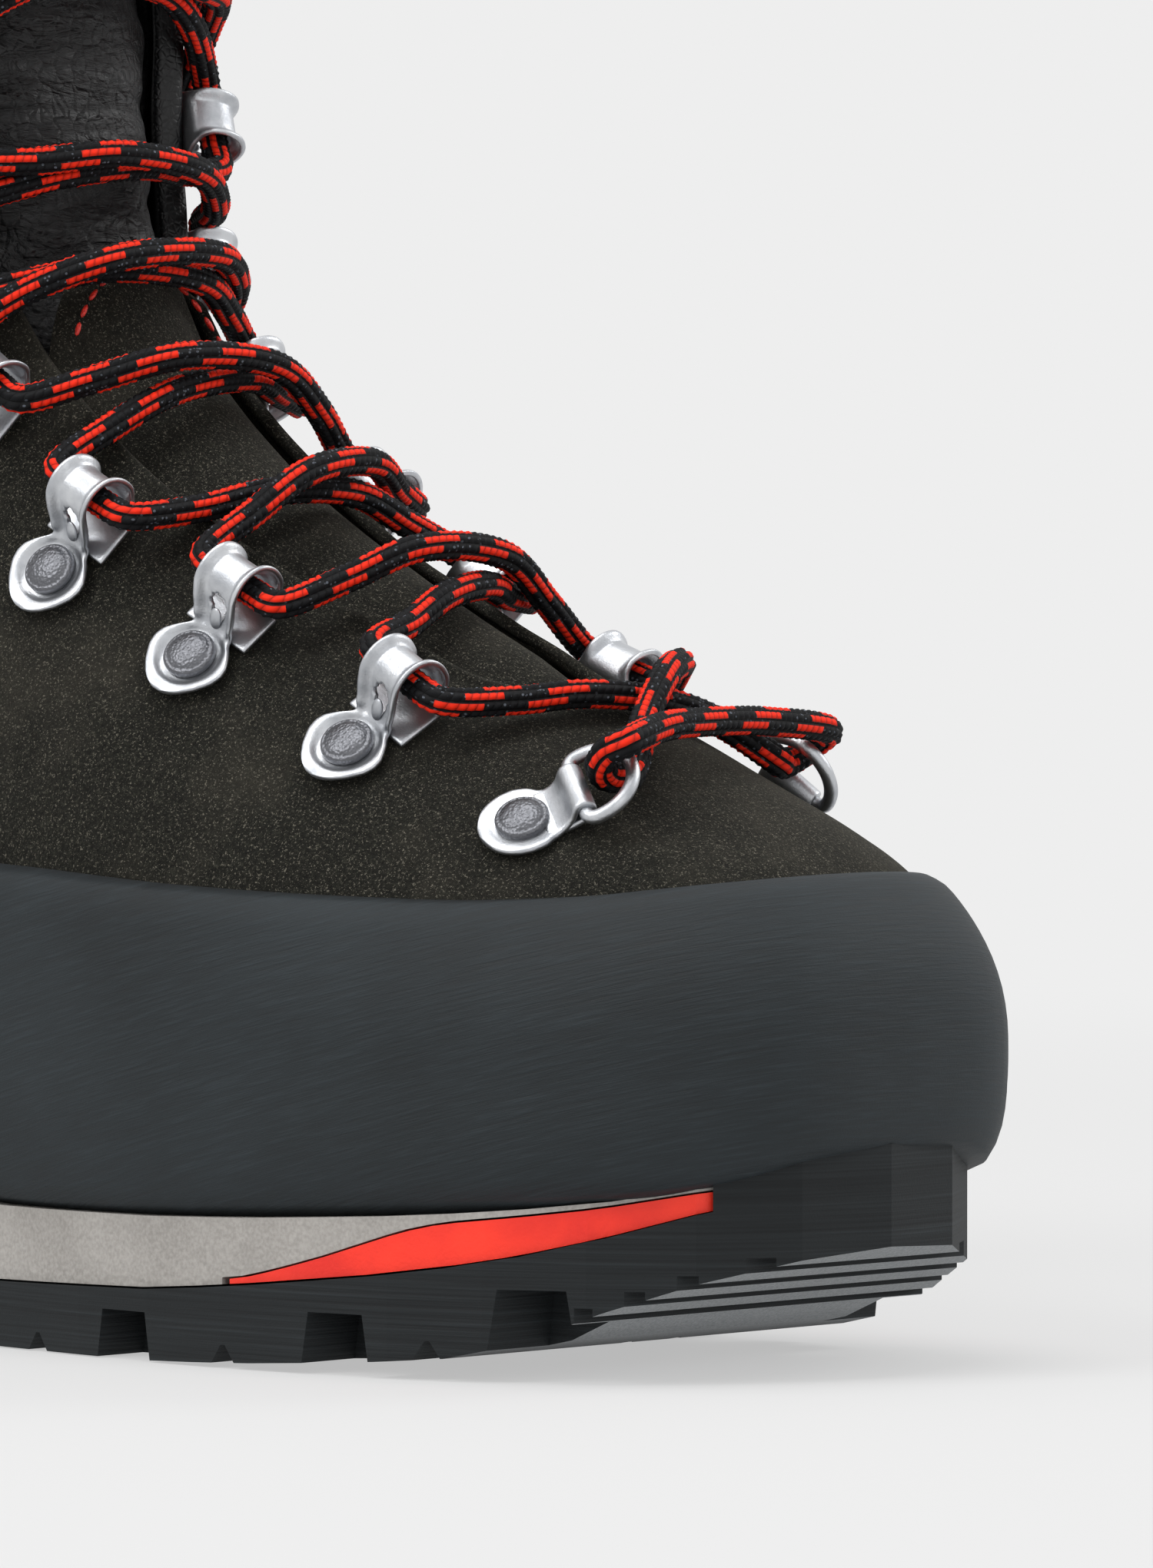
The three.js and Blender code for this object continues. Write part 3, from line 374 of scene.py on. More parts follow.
def laceRoute(side):
    # half of the lace: the bar at the toe, round its ring, then from side to side up the hooks to the knot
    over = side == "outer"
    first = rivetFrames[0][side]
    tilt = math.radians(lacing["ringTilt"])
    apex = inFrame(first, lacing["foldReach"] + lacing["ringReach"] * math.cos(tilt), 0,
                   lacing["foldHeight"] + lacing["ringReach"] * math.sin(tilt))
    bar = Vector(onUpper(lacing["bar"][0], 0, lacing["bar"][1]))
    bar.y = -0.15 if over else 0.15
    top = apex + first["z"] * lacing["loop"]
    points = [bar, bar.lerp(top, 0.5) + Vector((0, 0, 0.8))]
    for degrees in (90, 130, 175, 220, 262):
        a = math.radians(degrees)
        points.append(apex + first["x"] * math.cos(a) * lacing["loop"] + first["z"] * math.sin(a)
                      * lacing["loop"]
                      + first["y"] * (degrees - 90) / 172 * 2.4)
    for k in range(1, len(rivetFrames)):
        side = "inner" if side == "outer" else "outer"
        f = rivetFrames[k][side]
        reach, mouth, height = lacing["tunnelReach"], lacing["tunnelHalf"], lacing["tunnelHeight"]
        lower = inFrame(f, reach + 0.5, -mouth - lacing["lead"], height)
        start = points[-1].copy()
        for share in (0.22, 0.4, 0.6, 0.78):
            foot, normal = nearestOnUpper(start.lerp(lower, share), k)
            lift = lacing["clear"] * math.sin(math.pi * share) ** (3 if k == 1 else 1.3) if over else 0
            points.append(foot + normal * (lacing["crossHeights"][k] + lift))
        points += [lower, inFrame(f, reach, -mouth * 0.9, height), inFrame(f, reach, mouth * 0.9, height),
                   inFrame(f, reach + 0.5, mouth + lacing["lead"], height)]
    return points + laid(lacing["knotEntry"], sides[side])


def laid(rows, sign):
    return [Vector(onUpper(section, sign * degrees, offset)) for section, degrees, offset in rows]


def smoothRoute(points, step):
    # a centripetal curve through the points, cut into even steps
    p = np.array([tuple(q) for q in points], float)
    p = np.vstack([2 * p[0] - p[1], p, 2 * p[-1] - p[-2]])
    out = []
    for i in range(1, len(p) - 2):
        p0, p1, p2, p3 = p[i - 1:i + 3]
        d0, d1, d2 = (max(np.linalg.norm(b - a) ** 0.5, 1e-4) for a, b in ((p0, p1), (p1, p2), (p2, p3)))
        t1 = ((p1 - p0) / d0 - (p2 - p0) / (d0 + d1) + (p2 - p1) / d1) * d1
        t2 = ((p2 - p1) / d1 - (p3 - p1) / (d1 + d2) + (p3 - p2) / d2) * d1
        t = np.linspace(0, 1, 24, endpoint=False)[:, None]
        out.append((2 * t ** 3 - 3 * t ** 2 + 1) * p1 + (t ** 3 - 2 * t ** 2 + t) * t1
                   + (3 * t ** 2 - 2 * t ** 3) * p2 + (t ** 3 - t ** 2) * t2)
    line = np.vstack(out + [p[-2:-1]])
    return evenly(line, step)


def evenly(line, step):
    along = np.concatenate([[0], np.cumsum(np.linalg.norm(np.diff(line, axis=0), axis=1))])
    at = np.linspace(0, along[-1], max(2, int(round(along[-1] / step)) + 1))
    return np.stack([np.interp(at, along, line[:, k]) for k in range(3)], 1)


def carriedFrames(line, first=None):
    # two directions across the line at each point, carried along without twist
    tangent = np.gradient(line, axis=0)
    tangent /= np.linalg.norm(tangent, axis=1, keepdims=True)
    normal = np.array(first if first is not None else Vector(tangent[0]).orthogonal(), float)
    normals = []
    for t in tangent:
        normal = normal - t * normal.dot(t)
        normal /= np.linalg.norm(normal)
        normals.append(normal)
    normals = np.array(normals)
    return normals, np.cross(tangent, normals)


def tubeMesh(line, around, radius, uvSize=None, closed=False, capped=True):
    # a grid rolled round a line; radius(turn, share) gives its size as arrays
    normals, sideways = carriedFrames(line)
    if closed:  # spread the leftover twist so that the ends meet
        twist = math.atan2(normals[-1].dot(sideways[0]), normals[-1].dot(normals[0]))
        turn = -twist * np.linspace(0, 1, len(line))[:, None]
        normals, sideways = (normals * np.cos(turn) + sideways * np.sin(turn),
                             sideways * np.cos(turn) - normals * np.sin(turn))
    rows = len(line) - 1

    def place(u, v):
        i = np.clip(np.rint(v * rows).astype(int), 0, rows)
        a = u * 2 * math.pi
        reach = radius(u, v)[:, None]
        return line[i] + (normals[i] * np.cos(a)[:, None] + sideways[i] * np.sin(a)[:, None]) * reach

    bm = gridMesh(around, rows, place, uvSize)
    bmesh.ops.remove_doubles(bm, verts=bm.verts, dist=1e-4)
    if capped and not closed:
        bmesh.ops.holes_fill(bm, edges=[e for e in bm.edges if e.is_boundary], sides=0)
    bmesh.ops.recalc_face_normals(bm, faces=bm.faces)
    return bm


# lace: polyester round braid, charcoal with red dashes
braid = {"wales": 8, "bead": 1.3, "dash": 13.2, "dashShare": 0.46, "stagger": 0.25, "groove": 0.26,
         "knob": 0.14,
         "black": "#0a0b0e", "glintFleck": "#565b63", "red": "#ee2a0c", "gap": "#030304", "step": 0.45}


def laceMaterial():
    # polyester braid: dull fibres; the colour is darkened from each bead's crown into the grooves as painted
    # shade, and the pale flecks on the black are painted glints
    material, shader, where = newMaterial("polyester braid, round, charcoal and red", 0.7,
                                          Specular_IOR_Level=0.2)
    split = node(material, "SeparateXYZ", [(0, where, "UV")])

    def maths(operation, a, b=None, c=None, **more):
        made = node(material, "Math", operation=operation)
        for index, value in enumerate((a, b, c)):
            if isinstance(value, tuple):
                connect(material, value[0], value[1], made, index)
            elif value is not None:
                made.inputs[index].default_value = value
        return (made, "Value")

    across, along = (split, "X"), (split, "Y")
    wale = maths("FLOOR", across)
    inWale = maths("FRACT", across)
    odd = maths("MULTIPLY", maths("MODULO", wale, 2.0), 0.5)
    slant = maths("MULTIPLY", inWale, 0.45)
    beadAt = maths("FRACT", maths("ADD", maths("MULTIPLY_ADD", along, 1 / braid["bead"], odd), slant))
    crown = maths("SINE", maths("MULTIPLY", inWale, math.pi))
    knob = maths("SINE", maths("MULTIPLY", beadAt, math.pi))
    height = maths("MULTIPLY", maths("POWER", crown, 0.6),
                   maths("MULTIPLY_ADD", maths("POWER", knob, 0.5), 0.6, 0.4))
    dashAt = maths("FRACT", maths("MULTIPLY_ADD", along, 1 / braid["dash"],
                                  maths("MULTIPLY", wale, braid["stagger"])))
    inDash = maths("LESS_THAN", dashAt, braid["dashShare"])
    onCrown = maths("GREATER_THAN", crown, 0.5)
    red = maths("MULTIPLY", inDash, onCrown)
    threads = node(material, "Mapping", [("Vector", where, "UV")])
    threads.inputs["Scale"].default_value = (2.6, 1.5, 1)
    specks = node(material, "TexVoronoi", [("Vector", threads, "Vector")], Scale=1.0, Randomness=1.0)
    # painted glints: pale specks scattered over the black thread stand in for highlights
    lit = maths("MULTIPLY", maths("LESS_THAN", (specks, "Distance"), 0.3),
                maths("GREATER_THAN", (node(material, "SeparateColor", [(0, specks, "Color")]), "Red"), 0.62))
    dark = node(material, "Mix", [(0, *lit)], data_type="RGBA")
    dark.inputs[6].default_value = linear(braid["black"])
    dark.inputs[7].default_value = linear(braid["glintFleck"])
    # painted shade: the colour falls to near-black where the bead height drops into the grooves
    shade = maths("MULTIPLY_ADD", height, 0.95, 0.05)
    coloured = node(material, "Mix", [(0, *red), (6, dark, 2)], data_type="RGBA")
    coloured.inputs[7].default_value = linear(braid["red"])
    shaded = node(material, "Mix", [(0, *shade), (7, coloured, 2)], data_type="RGBA")
    shaded.inputs[6].default_value = linear(braid["gap"])
    connect(material, shaded, 2, shader, "Base Color")
    bump(material, shader, height[0], "Value", 0.00035, 0.9)
    return material


lace = laceMaterial()


def lacePiece(name, line, replaced):
    length = float(np.linalg.norm(np.diff(line, axis=0), axis=1).sum())
    wales, bead = braid["wales"], braid["bead"]

    def radius(u, v):
        wale = np.floor(u * wales - 1e-9)
        across = u * wales - wale
        beadAt = v * length / bead + 0.5 * (wale % 2) + 0.45 * across
        swell = braid["groove"] * (np.abs(np.sin(np.pi * across)) ** 0.6 - 0.7)
        swell += braid["knob"] * np.cos(2 * np.pi * (beadAt - 0.5)) * np.sin(np.pi * across)
        ends = np.minimum(v, 1 - v) * length
        return (lacing["radius"] + swell) * (0.75 + 0.25 * smoothStep(ends / 0.9))

    bm = tubeMesh(line, wales * 4, radius, (wales, length))
    return finishPiece(name, bm, lace, "boot", replaced)


halves = {side: laceRoute(side) for side in sides}
wholeLace = halves["outer"][:0:-1] + [halves["outer"][0].lerp(halves["inner"][0], 0.5)] + halves["inner"][1:]
lacePiece("lace", smoothRoute(wholeLace, braid["step"]), ["lace_outer", "lace_inner"])

# free cords: the bow's loops and the two ends, with their tips
bow = {
    "loop": [(13.84, 4.9, 9.4), (13.95, 20, 8.7), (14, 36, 7), (13.95, 50, 5.4), (13.75, 64, 4.4),
             (13.4, 73, 4.2), (13, 77, 4.2), (12.75, 72, 4.2), (12.85, 62, 4.4), (13.15, 52, 5),
             (13.4, 42, 6.4), (13.45, 31, 8), (13.38, 20, 8.8), (13.36, 4.9, 9.4)],
    "end": [(13.84, 4.9, 4.7), (14.1, 20, 4), (14.4, 36, 3.6), (14.5, 52, 3.4), (14.45, 68, 3.4),
            (14.2, 84, 3.2), (13.7, 98, 3.2), (13, 108, 3.2), (12.3, 114, 3.2), (11.6, 118, 3.2)],
    "tipLength": 16, "tipRadius": 2.2,
}


def tipMaterial():
    # clear-coated acetate film rolled tight round the braid: black and shiny
    material, shader, where = newMaterial("acetate film, rolled and glued", 0.22, Coat_Weight=0.6,
                                          Coat_Roughness=0.12)
    shader.inputs["Base Color"].default_value = linear("#0c0c0e")
    wraps = node(material, "TexNoise", [("Vector", where, "Object")], Scale=900.0, Detail=2.0)
    bump(material, shader, wraps, "Fac", 0.0001, 0.5)
    return material


acetate = tipMaterial()


def makeBow():
    for side, sign in sides.items():
        loop = smoothRoute(laid(bow["loop"], sign), braid["step"])
        piece = lacePiece(f"bowLoop_{side}", loop, [f"bow_loop_{side}"])
        end = smoothRoute(laid(bow["end"], sign), braid["step"])
        piece = lacePiece(f"laceEnd_{side}", end, [f"lace_end_{side}"])
        heading = (end[-1] - end[-3]) / np.linalg.norm(end[-1] - end[-3])
        tipLine = np.array([end[-1] + heading * t for t in np.linspace(-1.2, bow["tipLength"], 40)])
        tip = tubeMesh(tipLine, 20, lambda u, v: bow["tipRadius"] * np.minimum(
            1, 0.55 + 0.45 * smoothStep((1 - v) * 9)) * (1 - 0.04 * v + 0 * u))
        tip = finishPiece(f"laceTip_{side}", tip, acetate, "boot", [f"aglet_{side}"])
    knot = lacing["knot"]
    centre = Vector(onUpper(knot["section"], 0, knot["offset"]))
    centre.y = 0
    turn = np.linspace(0, 1, 60)
    a = turn * knot["turns"] * 2 * math.pi + 2.2
    wrap = np.stack([centre.x + knot["reach"] * np.cos(a), (turn - 0.5) * 2 * knot["half"],
                     centre.z + knot["reach"] * np.sin(a)], 1)
    lacePiece("bowKnot", evenly(wrap, braid["step"]), ["bow_knot"])


makeBow()
print("lace and bow made")

# metal: hooks, rivets, ring clips and rings
hookShape = {
    # the strip's middle line: distance from the rivet and height, then half its width there
    "line": [(-7.3, 1.5), (-5, 1.5), (0, 1.5), (3.6, 1.5), (5.2, 1.9), (6.6, 3.4), (7.9, 6), (9.3, 8.1),
             (11.6, 9.1), (14, 8.5), (15.4, 6.6), (15.7, 4), (15.2, 1.8), (13.7, 0.75), (11.5, 0.55),
             (8, 0.5), (5, 0.5)],
    "half": [(0, 0.6), (0.4, 2.1), (1.4, 3.7), (3.2, 5.4), (5.3, 6.8), (7, 7.2), (8.4, 6.9), (9.8, 5.8),
             (11.2, 4.4), (12.2, 3.8), (14.5, 4), (17, 4.25), (20, 4.35), (30, 4.3), (32, 4.5), (34, 5.4),
             (36, 6.4), (44, 6.4)],
    "ridge": 1.25, "rim": 0.7, "recess": 0.3, "recessRadius": 4.9, "metal": 0.85, "columns": 88, "across": 20,
    "drop": {"tip": 18.4, "foot": 12.8, "half": 1.5},
}
rivetShape = {"cap": 3.95, "low": 1.2, "edge": 2.5, "top": 3.35, "shank": 1.9}


def castMetal():
    # zinc die casting, tumbled and satin plated: pale, soft highlights, fine grain and dull worn patches
    material, shader, where = newMaterial("zinc casting, satin plated", 0.38, 1.0)
    grain = node(material, "TexNoise", [("Vector", where, "Object")], Scale=2600.0, Detail=3.0, Roughness=0.7)
    patches = node(material, "TexNoise", [("Vector", where, "Object")], Scale=260.0, Detail=3.0)
    tone = ramp(material, patches, "Fac", [(0.3, "#a9acb1"), (0.7, "#cfd1d4")])
    connect(material, tone, "Color", shader, "Base Color")
    rough = node(material, "MapRange", [("Value", patches, "Fac")], To_Min=0.5, To_Max=0.3)
    connect(material, rough, "Result", shader, "Roughness")
    bump(material, shader, grain, "Fac", 0.00008, 0.6)
    return material


def capMetal():
    # nickel on a hammered steel cap: dull grey, broken by small dents
    material, shader, where = newMaterial("steel cap, hammered, black nickel", 0.4, 1.0)
    shader.inputs["Base Color"].default_value = linear("#6a6b6f")
    dents = node(material, "TexVoronoi", [("Vector", where, "Object")], Scale=2300.0, feature="SMOOTH_F1")
    dents.inputs["Smoothness"].default_value = 0.6
    bump(material, shader, dents, "Distance", 0.00016, 0.7)
    return material


zinc, blackNickel = castMetal(), capMetal()


def byTable(table, x):
    return np.interp(x, [row[0] for row in table], [row[1] for row in table])


def sheetAlong(line, half, columns, across, lift):
    # a strip of sheet bent along a line in x and z; lift(length, share, y) raises it off its middle line
    path = smoothRoute([(x, 0, z) for x, z in line], 0.1)
    length = 0.1 * (len(path) - 1)
    tangent = np.gradient(path, axis=0)
    tangent /= np.linalg.norm(tangent, axis=1, keepdims=True)

    def place(u, v):
        i = np.clip(np.rint(u * (len(path) - 1)).astype(int), 0, len(path) - 1)
        s, share = u * length, v * 2 - 1
        y = share * byTable(half, s)
        rise = lift(s, share, y)
        normal = np.stack([-tangent[i][:, 2], np.zeros(len(i)), tangent[i][:, 0]], 1)
        return path[i] + np.stack([0 * y, y, 0 * y], 1) + normal * rise[:, None]

    return gridMesh(columns, across, place, (length, 1))


def hookMesh():
    # pressed strip with rolled edges, a rivet recess, and a drop-shaped window in the arch
    shape = hookShape

    def lift(s, share, y):
        fromRivet = np.hypot(s - 7.3, y)
        onPlate = 1 - smoothStep((s - 11) / 2)
        rim = shape["rim"] * onPlate * smoothStep((fromRivet - 4.3) / 1.6)
        recess = -shape["recess"] * onPlate * (1 - smoothStep((fromRivet - shape["recessRadius"]) / 0.5))
        edge = np.abs(share)
        onArch = smoothStep((s - 11.5) / 2.5) * (1 - smoothStep((s - 30) / 3))
        return rim + recess + onArch * shape["ridge"] * smoothStep((edge - 0.6) / 0.25)

    bm = sheetAlong(shape["line"], shape["half"], shape["columns"], shape["across"], lift)
    layer = bm.loops.layers.uv.active
    drop = shape["drop"]

    def inDrop(s, y):
        at = (s - drop["foot"]) / (drop["tip"] - drop["foot"])
        return 0 < at < 1 and abs(y) < drop["half"] * math.sin(math.pi * (1 - at) ** 0.62) ** 0.9

    gone = []
    for face in bm.faces:
        s = sum(corner[layer].uv.x for corner in face.loops) / len(face.loops)
        if inDrop(s, sum(corner.vert.co.y for corner in face.loops) / len(face.loops)):
            gone.append(face)
    bmesh.ops.delete(bm, geom=gone, context="FACES")
    bmesh.ops.remove_doubles(bm, verts=bm.verts, dist=1e-3)
    hole = [v for v in bm.verts if v.is_boundary and 5 < v.co.x < 9.5 and abs(v.co.y) < 2.2]
    bmesh.ops.smooth_vert(bm, verts=hole, factor=0.5, use_axis_x=True, use_axis_y=True, use_axis_z=True)
    bmesh.ops.recalc_face_normals(bm, faces=bm.faces)
    if sum(f.normal.z for f in bm.faces if f.calc_center_median().x < 3) < 0:
        bmesh.ops.reverse_faces(bm, faces=bm.faces)
    bmesh.ops.solidify(bm, geom=bm.faces[:], thickness=shape["metal"])
    # the drop left standing in the window
    tab = bmesh.ops.create_icosphere(bm, subdivisions=3, radius=1)["verts"]
    bmesh.ops.scale(bm, verts=tab, vec=(1.75, 1.15, 0.55))
    bmesh.ops.rotate(bm, verts=tab, matrix=Matrix.Rotation(math.radians(-57), 3, "Y"))
    bmesh.ops.translate(bm, verts=tab, vec=(6.25, 0, 3.4))
    return bm


def capMesh():
    # turned profile with a rolled edge, then small hammer dents on the crown
    r = rivetShape
    profile = [(0, r["low"] - 1.4), (r["shank"], r["low"] - 1.4), (r["shank"], r["low"]),
               (r["cap"] * 0.97, r["low"]),
               (r["cap"], r["low"] + 0.3), (r["cap"], r["edge"] - 0.3), (r["cap"] * 0.95, r["edge"]),
               (r["cap"] * 0.88, r["edge"] + 0.12), (r["cap"] * 0.84, r["edge"] + 0.05),
               (r["cap"] * 0.8, r["edge"] + 0.22), (r["cap"] * 0.6, r["top"] - 0.28),
               (r["cap"] * 0.4, r["top"] - 0.1),
               (r["cap"] * 0.2, r["top"] - 0.02), (0, r["top"])]
    bm = bmesh.new()
    verts = [bm.verts.new((x, 0, z)) for x, z in profile]
    edges = [bm.edges.new(pair) for pair in zip(verts, verts[1:])]
    bmesh.ops.spin(bm, geom=verts + edges, cent=(0, 0, 0), axis=(0, 0, 1), angle=math.tau, steps=36,
                   use_merge=True)
    faceOut(bm)
    crown = [v for v in bm.verts if v.co.z > r["edge"] + 0.1 and v.co.xy.length < r["cap"] * 0.82]
    for v in crown:
        v.co.z += 0.06 * noise.noise(Vector((v.co.x * 0.9, v.co.y * 0.9, 3.3)))
    return bm


def copyTo(source, f, mirrored):
    bm = source.copy()
    bmesh.ops.transform(bm, verts=bm.verts, matrix=frameMatrix(f))
    if mirrored:
        bmesh.ops.reverse_faces(bm, faces=bm.faces)
    return bm


ringShape = {"height": 1.5, "metal": 1.0, "fold": 1.75, "wire": 1.05, "halfWidth": 6.4, "corner": 1.7}


def clipMesh():
    # round plate whose tongue folds back round the ring's bar
    r = ringShape
    reach, high = lacing["foldReach"], lacing["foldHeight"]
    line = [(-6.6, r["height"]), (-3, r["height"]), (0, r["height"]), (4, r["height"]),
            (6, r["height"] + 1.2),
            (reach - 1.2, high + r["fold"] - 0.2), (reach + 0.4, high + r["fold"]),
            (reach + r["fold"], high + 0.3),
            (reach + 1, high - r["fold"] * 0.9), (reach - 1.5, high - r["fold"] - 0.7), (5, 0.6), (2.5, 0.6)]
    half = [(0, 0.5), (0.4, 2.2), (1.2, 3.9), (2.6, 5.3), (4.6, 6.3), (6.6, 6.6), (8.6, 6.2), (10, 5.3),
            (11, 4.8), (12.5, 4.6), (40, 4.6)]

    def lift(s, share, y):
        return 0.35 * smoothStep((np.hypot(s - 6.6, y) - 4.3) / 1.2) * (1 - smoothStep((s - 9) / 2))

    bm = sheetAlong(line, half, 60, 14, lift)
    bmesh.ops.remove_doubles(bm, verts=bm.verts, dist=1e-3)
    bmesh.ops.recalc_face_normals(bm, faces=bm.faces)
    if sum(f.normal.z for f in bm.faces if f.calc_center_median().x < 3) < 0:
        bmesh.ops.reverse_faces(bm, faces=bm.faces)
    bmesh.ops.solidify(bm, geom=bm.faces[:], thickness=r["metal"])
    return bm


def ringMesh():
    # round wire bent to a D and butted in the fold
    r, reach = ringShape, lacing["ringReach"]
    half, corner = r["halfWidth"], r["corner"]
    line = [(0, y) for y in np.linspace(-half + corner, half - corner, 12)]
    line += [(corner - corner * math.sin(a), half - corner + corner * math.sin(math.pi / 2 - a))
             for a in np.linspace(math.pi / 2, 0, 7)[1:]]
    bow = reach - half
    line += [(bow + half * math.sin(a), half * math.cos(a)) for a in np.linspace(0, math.pi, 40)]
    line += [(corner - corner * math.sin(a), -half + corner - corner * math.cos(a))
             for a in np.linspace(0, math.pi / 2, 7)[:-1]]
    path = np.array([(x, y, 0) for x, y in line + line[:1]], float)
    bm = tubeMesh(evenly(path, 0.42), 14, lambda u, v: r["wire"] + 0 * u, closed=True)
    bmesh.ops.rotate(bm, verts=bm.verts, matrix=Matrix.Rotation(-math.radians(lacing["ringTilt"]), 3, "Y"))
    bmesh.ops.translate(bm, verts=bm.verts, vec=(lacing["foldReach"], 0, lacing["foldHeight"]))
    return bm


def makeHardware():
    hook, cap, clip, ring = hookMesh(), capMesh(), clipMesh(), ringMesh()
    rounded = [("SUBSURF", {"levels": 1, "render_levels": 1})]
    for index, pair in enumerate(rivetFrames):
        for side, f in pair.items():
            flipped = side == "inner"
            label = f"row{index}" if index else "ring"
            if index:
                finishPiece(f"hook_{label}_{side}_cast", copyTo(hook, f, flipped), zinc, "boot",
                            [f"hook_{label}_{side}"], rounded)
            else:
                finishPiece(f"ringClip_{side}", copyTo(clip, f, flipped), zinc, "boot",
                            [f"ring_clip_{side}"], rounded)
                finishPiece(f"toeRing_{side}", copyTo(ring, f, flipped), zinc, f"toe_ring_{side}",
                            [f"toe_ring_{side}"])
            finishPiece(f"rivetCap_{label}_{side}", copyTo(cap, f, flipped), blackNickel, "boot",
                        [f"rivet_{label}_{side}"])
    for source in (hook, cap, clip, ring):
        source.free()


makeHardware()
print("hardware made")

# upper: panels stretched over the last between two border lines
edges = {
    "rand": [(-155, 64), (-140, 62), (-110, 55), (-70, 55), (-30, 63), (5, 71.5), (18, 71), (52, 68.8),
             (81, 67.7), (103, 67.5), (123, 68.8), (140, 71.8), (148, 75), (156, 79)],
    "cuff": [(-160, 112), (-140, 112), (-110, 128), (-70, 146), (-35, 153), (0, 160), (30, 168)],
    "collar": [(-160, 196), (-135, 196), (-100, 199), (-60, 206), (-30, 211), (20, 214)],
    "soleTop": [(-153, 31.5), (-141, 31), (-100, 30), (-60, 27), (-20, 22.8), (13, 20.6), (48, 20.9),
                (68, 21.6), (89, 22.6), (104, 23.6), (112, 24.3), (123, 25.4), (136, 28), (145, 32.2),
                (155, 38)],
    "throat": [(4.35, 0), (4.5, 11), (4.9, 18), (6, 21), (7, 24), (8.5, 27), (10, 28), (12, 30), (15, 32)],
}
upperParts = {
    "around": 300, "randRows": 30, "randThick": 2.5, "skive": 5, "suedeRows": 44, "suedeThick": 1.6,
              "hidden": 6,
    "throatRoll": 1.0, "cuffThick": 1.8, "outerShare": 0.8, "randEdge": 0.45, "tuck": 2.3,
    "tuckHeight": 7, "cuffColumns": 190, "cuffRows": 110,
}


def skinHit(origin, direction, height):
    # where a level line at an edge's height meets the last, or just above where that is rounded under
    x, found = origin[0] + direction[0] * 40, None
    for turn in range(5):
        z = float(height(x))
        for rise in range(16):
            hit = skinTree.ray_cast(Vector((origin[0], origin[1] + 0.013, z + rise)), Vector(direction),
                                    200)[0]
            if hit is not None:
                x, found = hit.x, hit
                break
    return found


def aroundFoot(share):
    # origin and direction of a level line: round the heel, the outer side, the toe and the inner side
    heel, toe = last["heel"], last["toe"]
    arcs = (60, toe[0] - heel[0], 142, toe[0] - heel[0], 60)
    at = share * sum(arcs)
    if at < arcs[0]:
        a = math.pi / 2 * at / arcs[0]
        return heel, (-math.cos(a), -math.sin(a), 0)
    at -= arcs[0]
    if at < arcs[1]:
        f = at / arcs[1]
        return (heel[0] + (toe[0] - heel[0]) * f, heel[1] + (toe[1] - heel[1]) * f), (0, -1, 0)
    at -= arcs[1]
    if at < arcs[2]:
        a = math.pi * at / arcs[2]
        return toe, (math.sin(a), -math.cos(a), 0)
    at -= arcs[2]
    if at < arcs[3]:
        f = 1 - at / arcs[3]
        return (heel[0] + (toe[0] - heel[0]) * f, heel[1] + (toe[1] - heel[1]) * f), (0, 1, 0)
    a = math.pi / 2 * (1 - (at - arcs[3]) / arcs[4])
    return heel, (-math.cos(a), math.sin(a), 0)


def edgeLine(table, count, rise=0.0):
    return np.array([tuple(skinHit(*aroundFoot(i / count), lambda x: curveAt(table, x) + rise))
                     for i in range(count)])


def stretched(bm, columns, low, high, offset):
    # moves the grid's points between the lines low and high, then onto the last with offset(share, low, high)
    for vert in bm.verts:
        i, v = int(round((vert.co.x + 0.5) * columns)), vert.co.y + 0.5
        a, b = low[i % len(low)], high[i % len(high)]
        vert.co = onSkin(Vector(a).lerp(Vector(b), v), offset(v, a, b))
    return bm


def plainGrid(columns, rows):
    bm = bmesh.new()
    bmesh.ops.create_grid(bm, x_segments=columns, y_segments=rows, size=0.5)
    return bm


def closeTube(bm):
    bmesh.ops.remove_doubles(bm, verts=bm.verts, dist=1e-3)
    bmesh.ops.holes_fill(bm, edges=[e for e in bm.edges if e.is_boundary], sides=0)
    bmesh.ops.recalc_face_normals(bm, faces=bm.faces)
    return bm


def rubberRand():
    # vulcanised rubber, buffed before gluing: fine slanting scratches, paler where it was rubbed most
    material, shader, where = newMaterial("vulcanised rubber, buffed", 0.7, Specular_IOR_Level=0.3)
    turned = node(material, "Mapping", [("Vector", where, "Object")])
    turned.inputs["Rotation"].default_value = (0, math.radians(14), 0)
    drawn = node(material, "Mapping", [("Vector", turned, "Vector")])
    drawn.inputs["Scale"].default_value = (110, 110, 2300)
    scratches = node(material, "TexNoise", [("Vector", drawn, "Vector")], Scale=1.0, Detail=4.0,
                     Roughness=0.65)
    clouds = node(material, "TexNoise", [("Vector", where, "Object")], Scale=22.0, Detail=3.0)
    grit = node(material, "TexNoise", [("Vector", where, "Object")], Scale=3000.0, Detail=2.0)
    tone = ramp(material, scratches, "Fac", [(0.3, "#14181a"), (0.52, "#1d2326"), (0.75, "#2d3438")])
    patch = ramp(material, clouds, "Fac", [(0.35, "#171b1d"), (0.7, "#293034")])
    mixed = node(material, "Mix", [(6, tone, "Color"), (7, patch, "Color")], data_type="RGBA")
    mixed.inputs[0].default_value = 0.4
    connect(material, mixed, 2, shader, "Base Color")
    rough = node(material, "MapRange", [("Value", scratches, "Fac")], To_Min=0.52, To_Max=0.78)
    connect(material, rough, "Result", shader, "Roughness")
    first = bump(material, shader, grit, "Fac", 0.00006, 0.5)
    bump(material, shader, scratches, "Fac", 0.00022, 0.7, first)
    return material


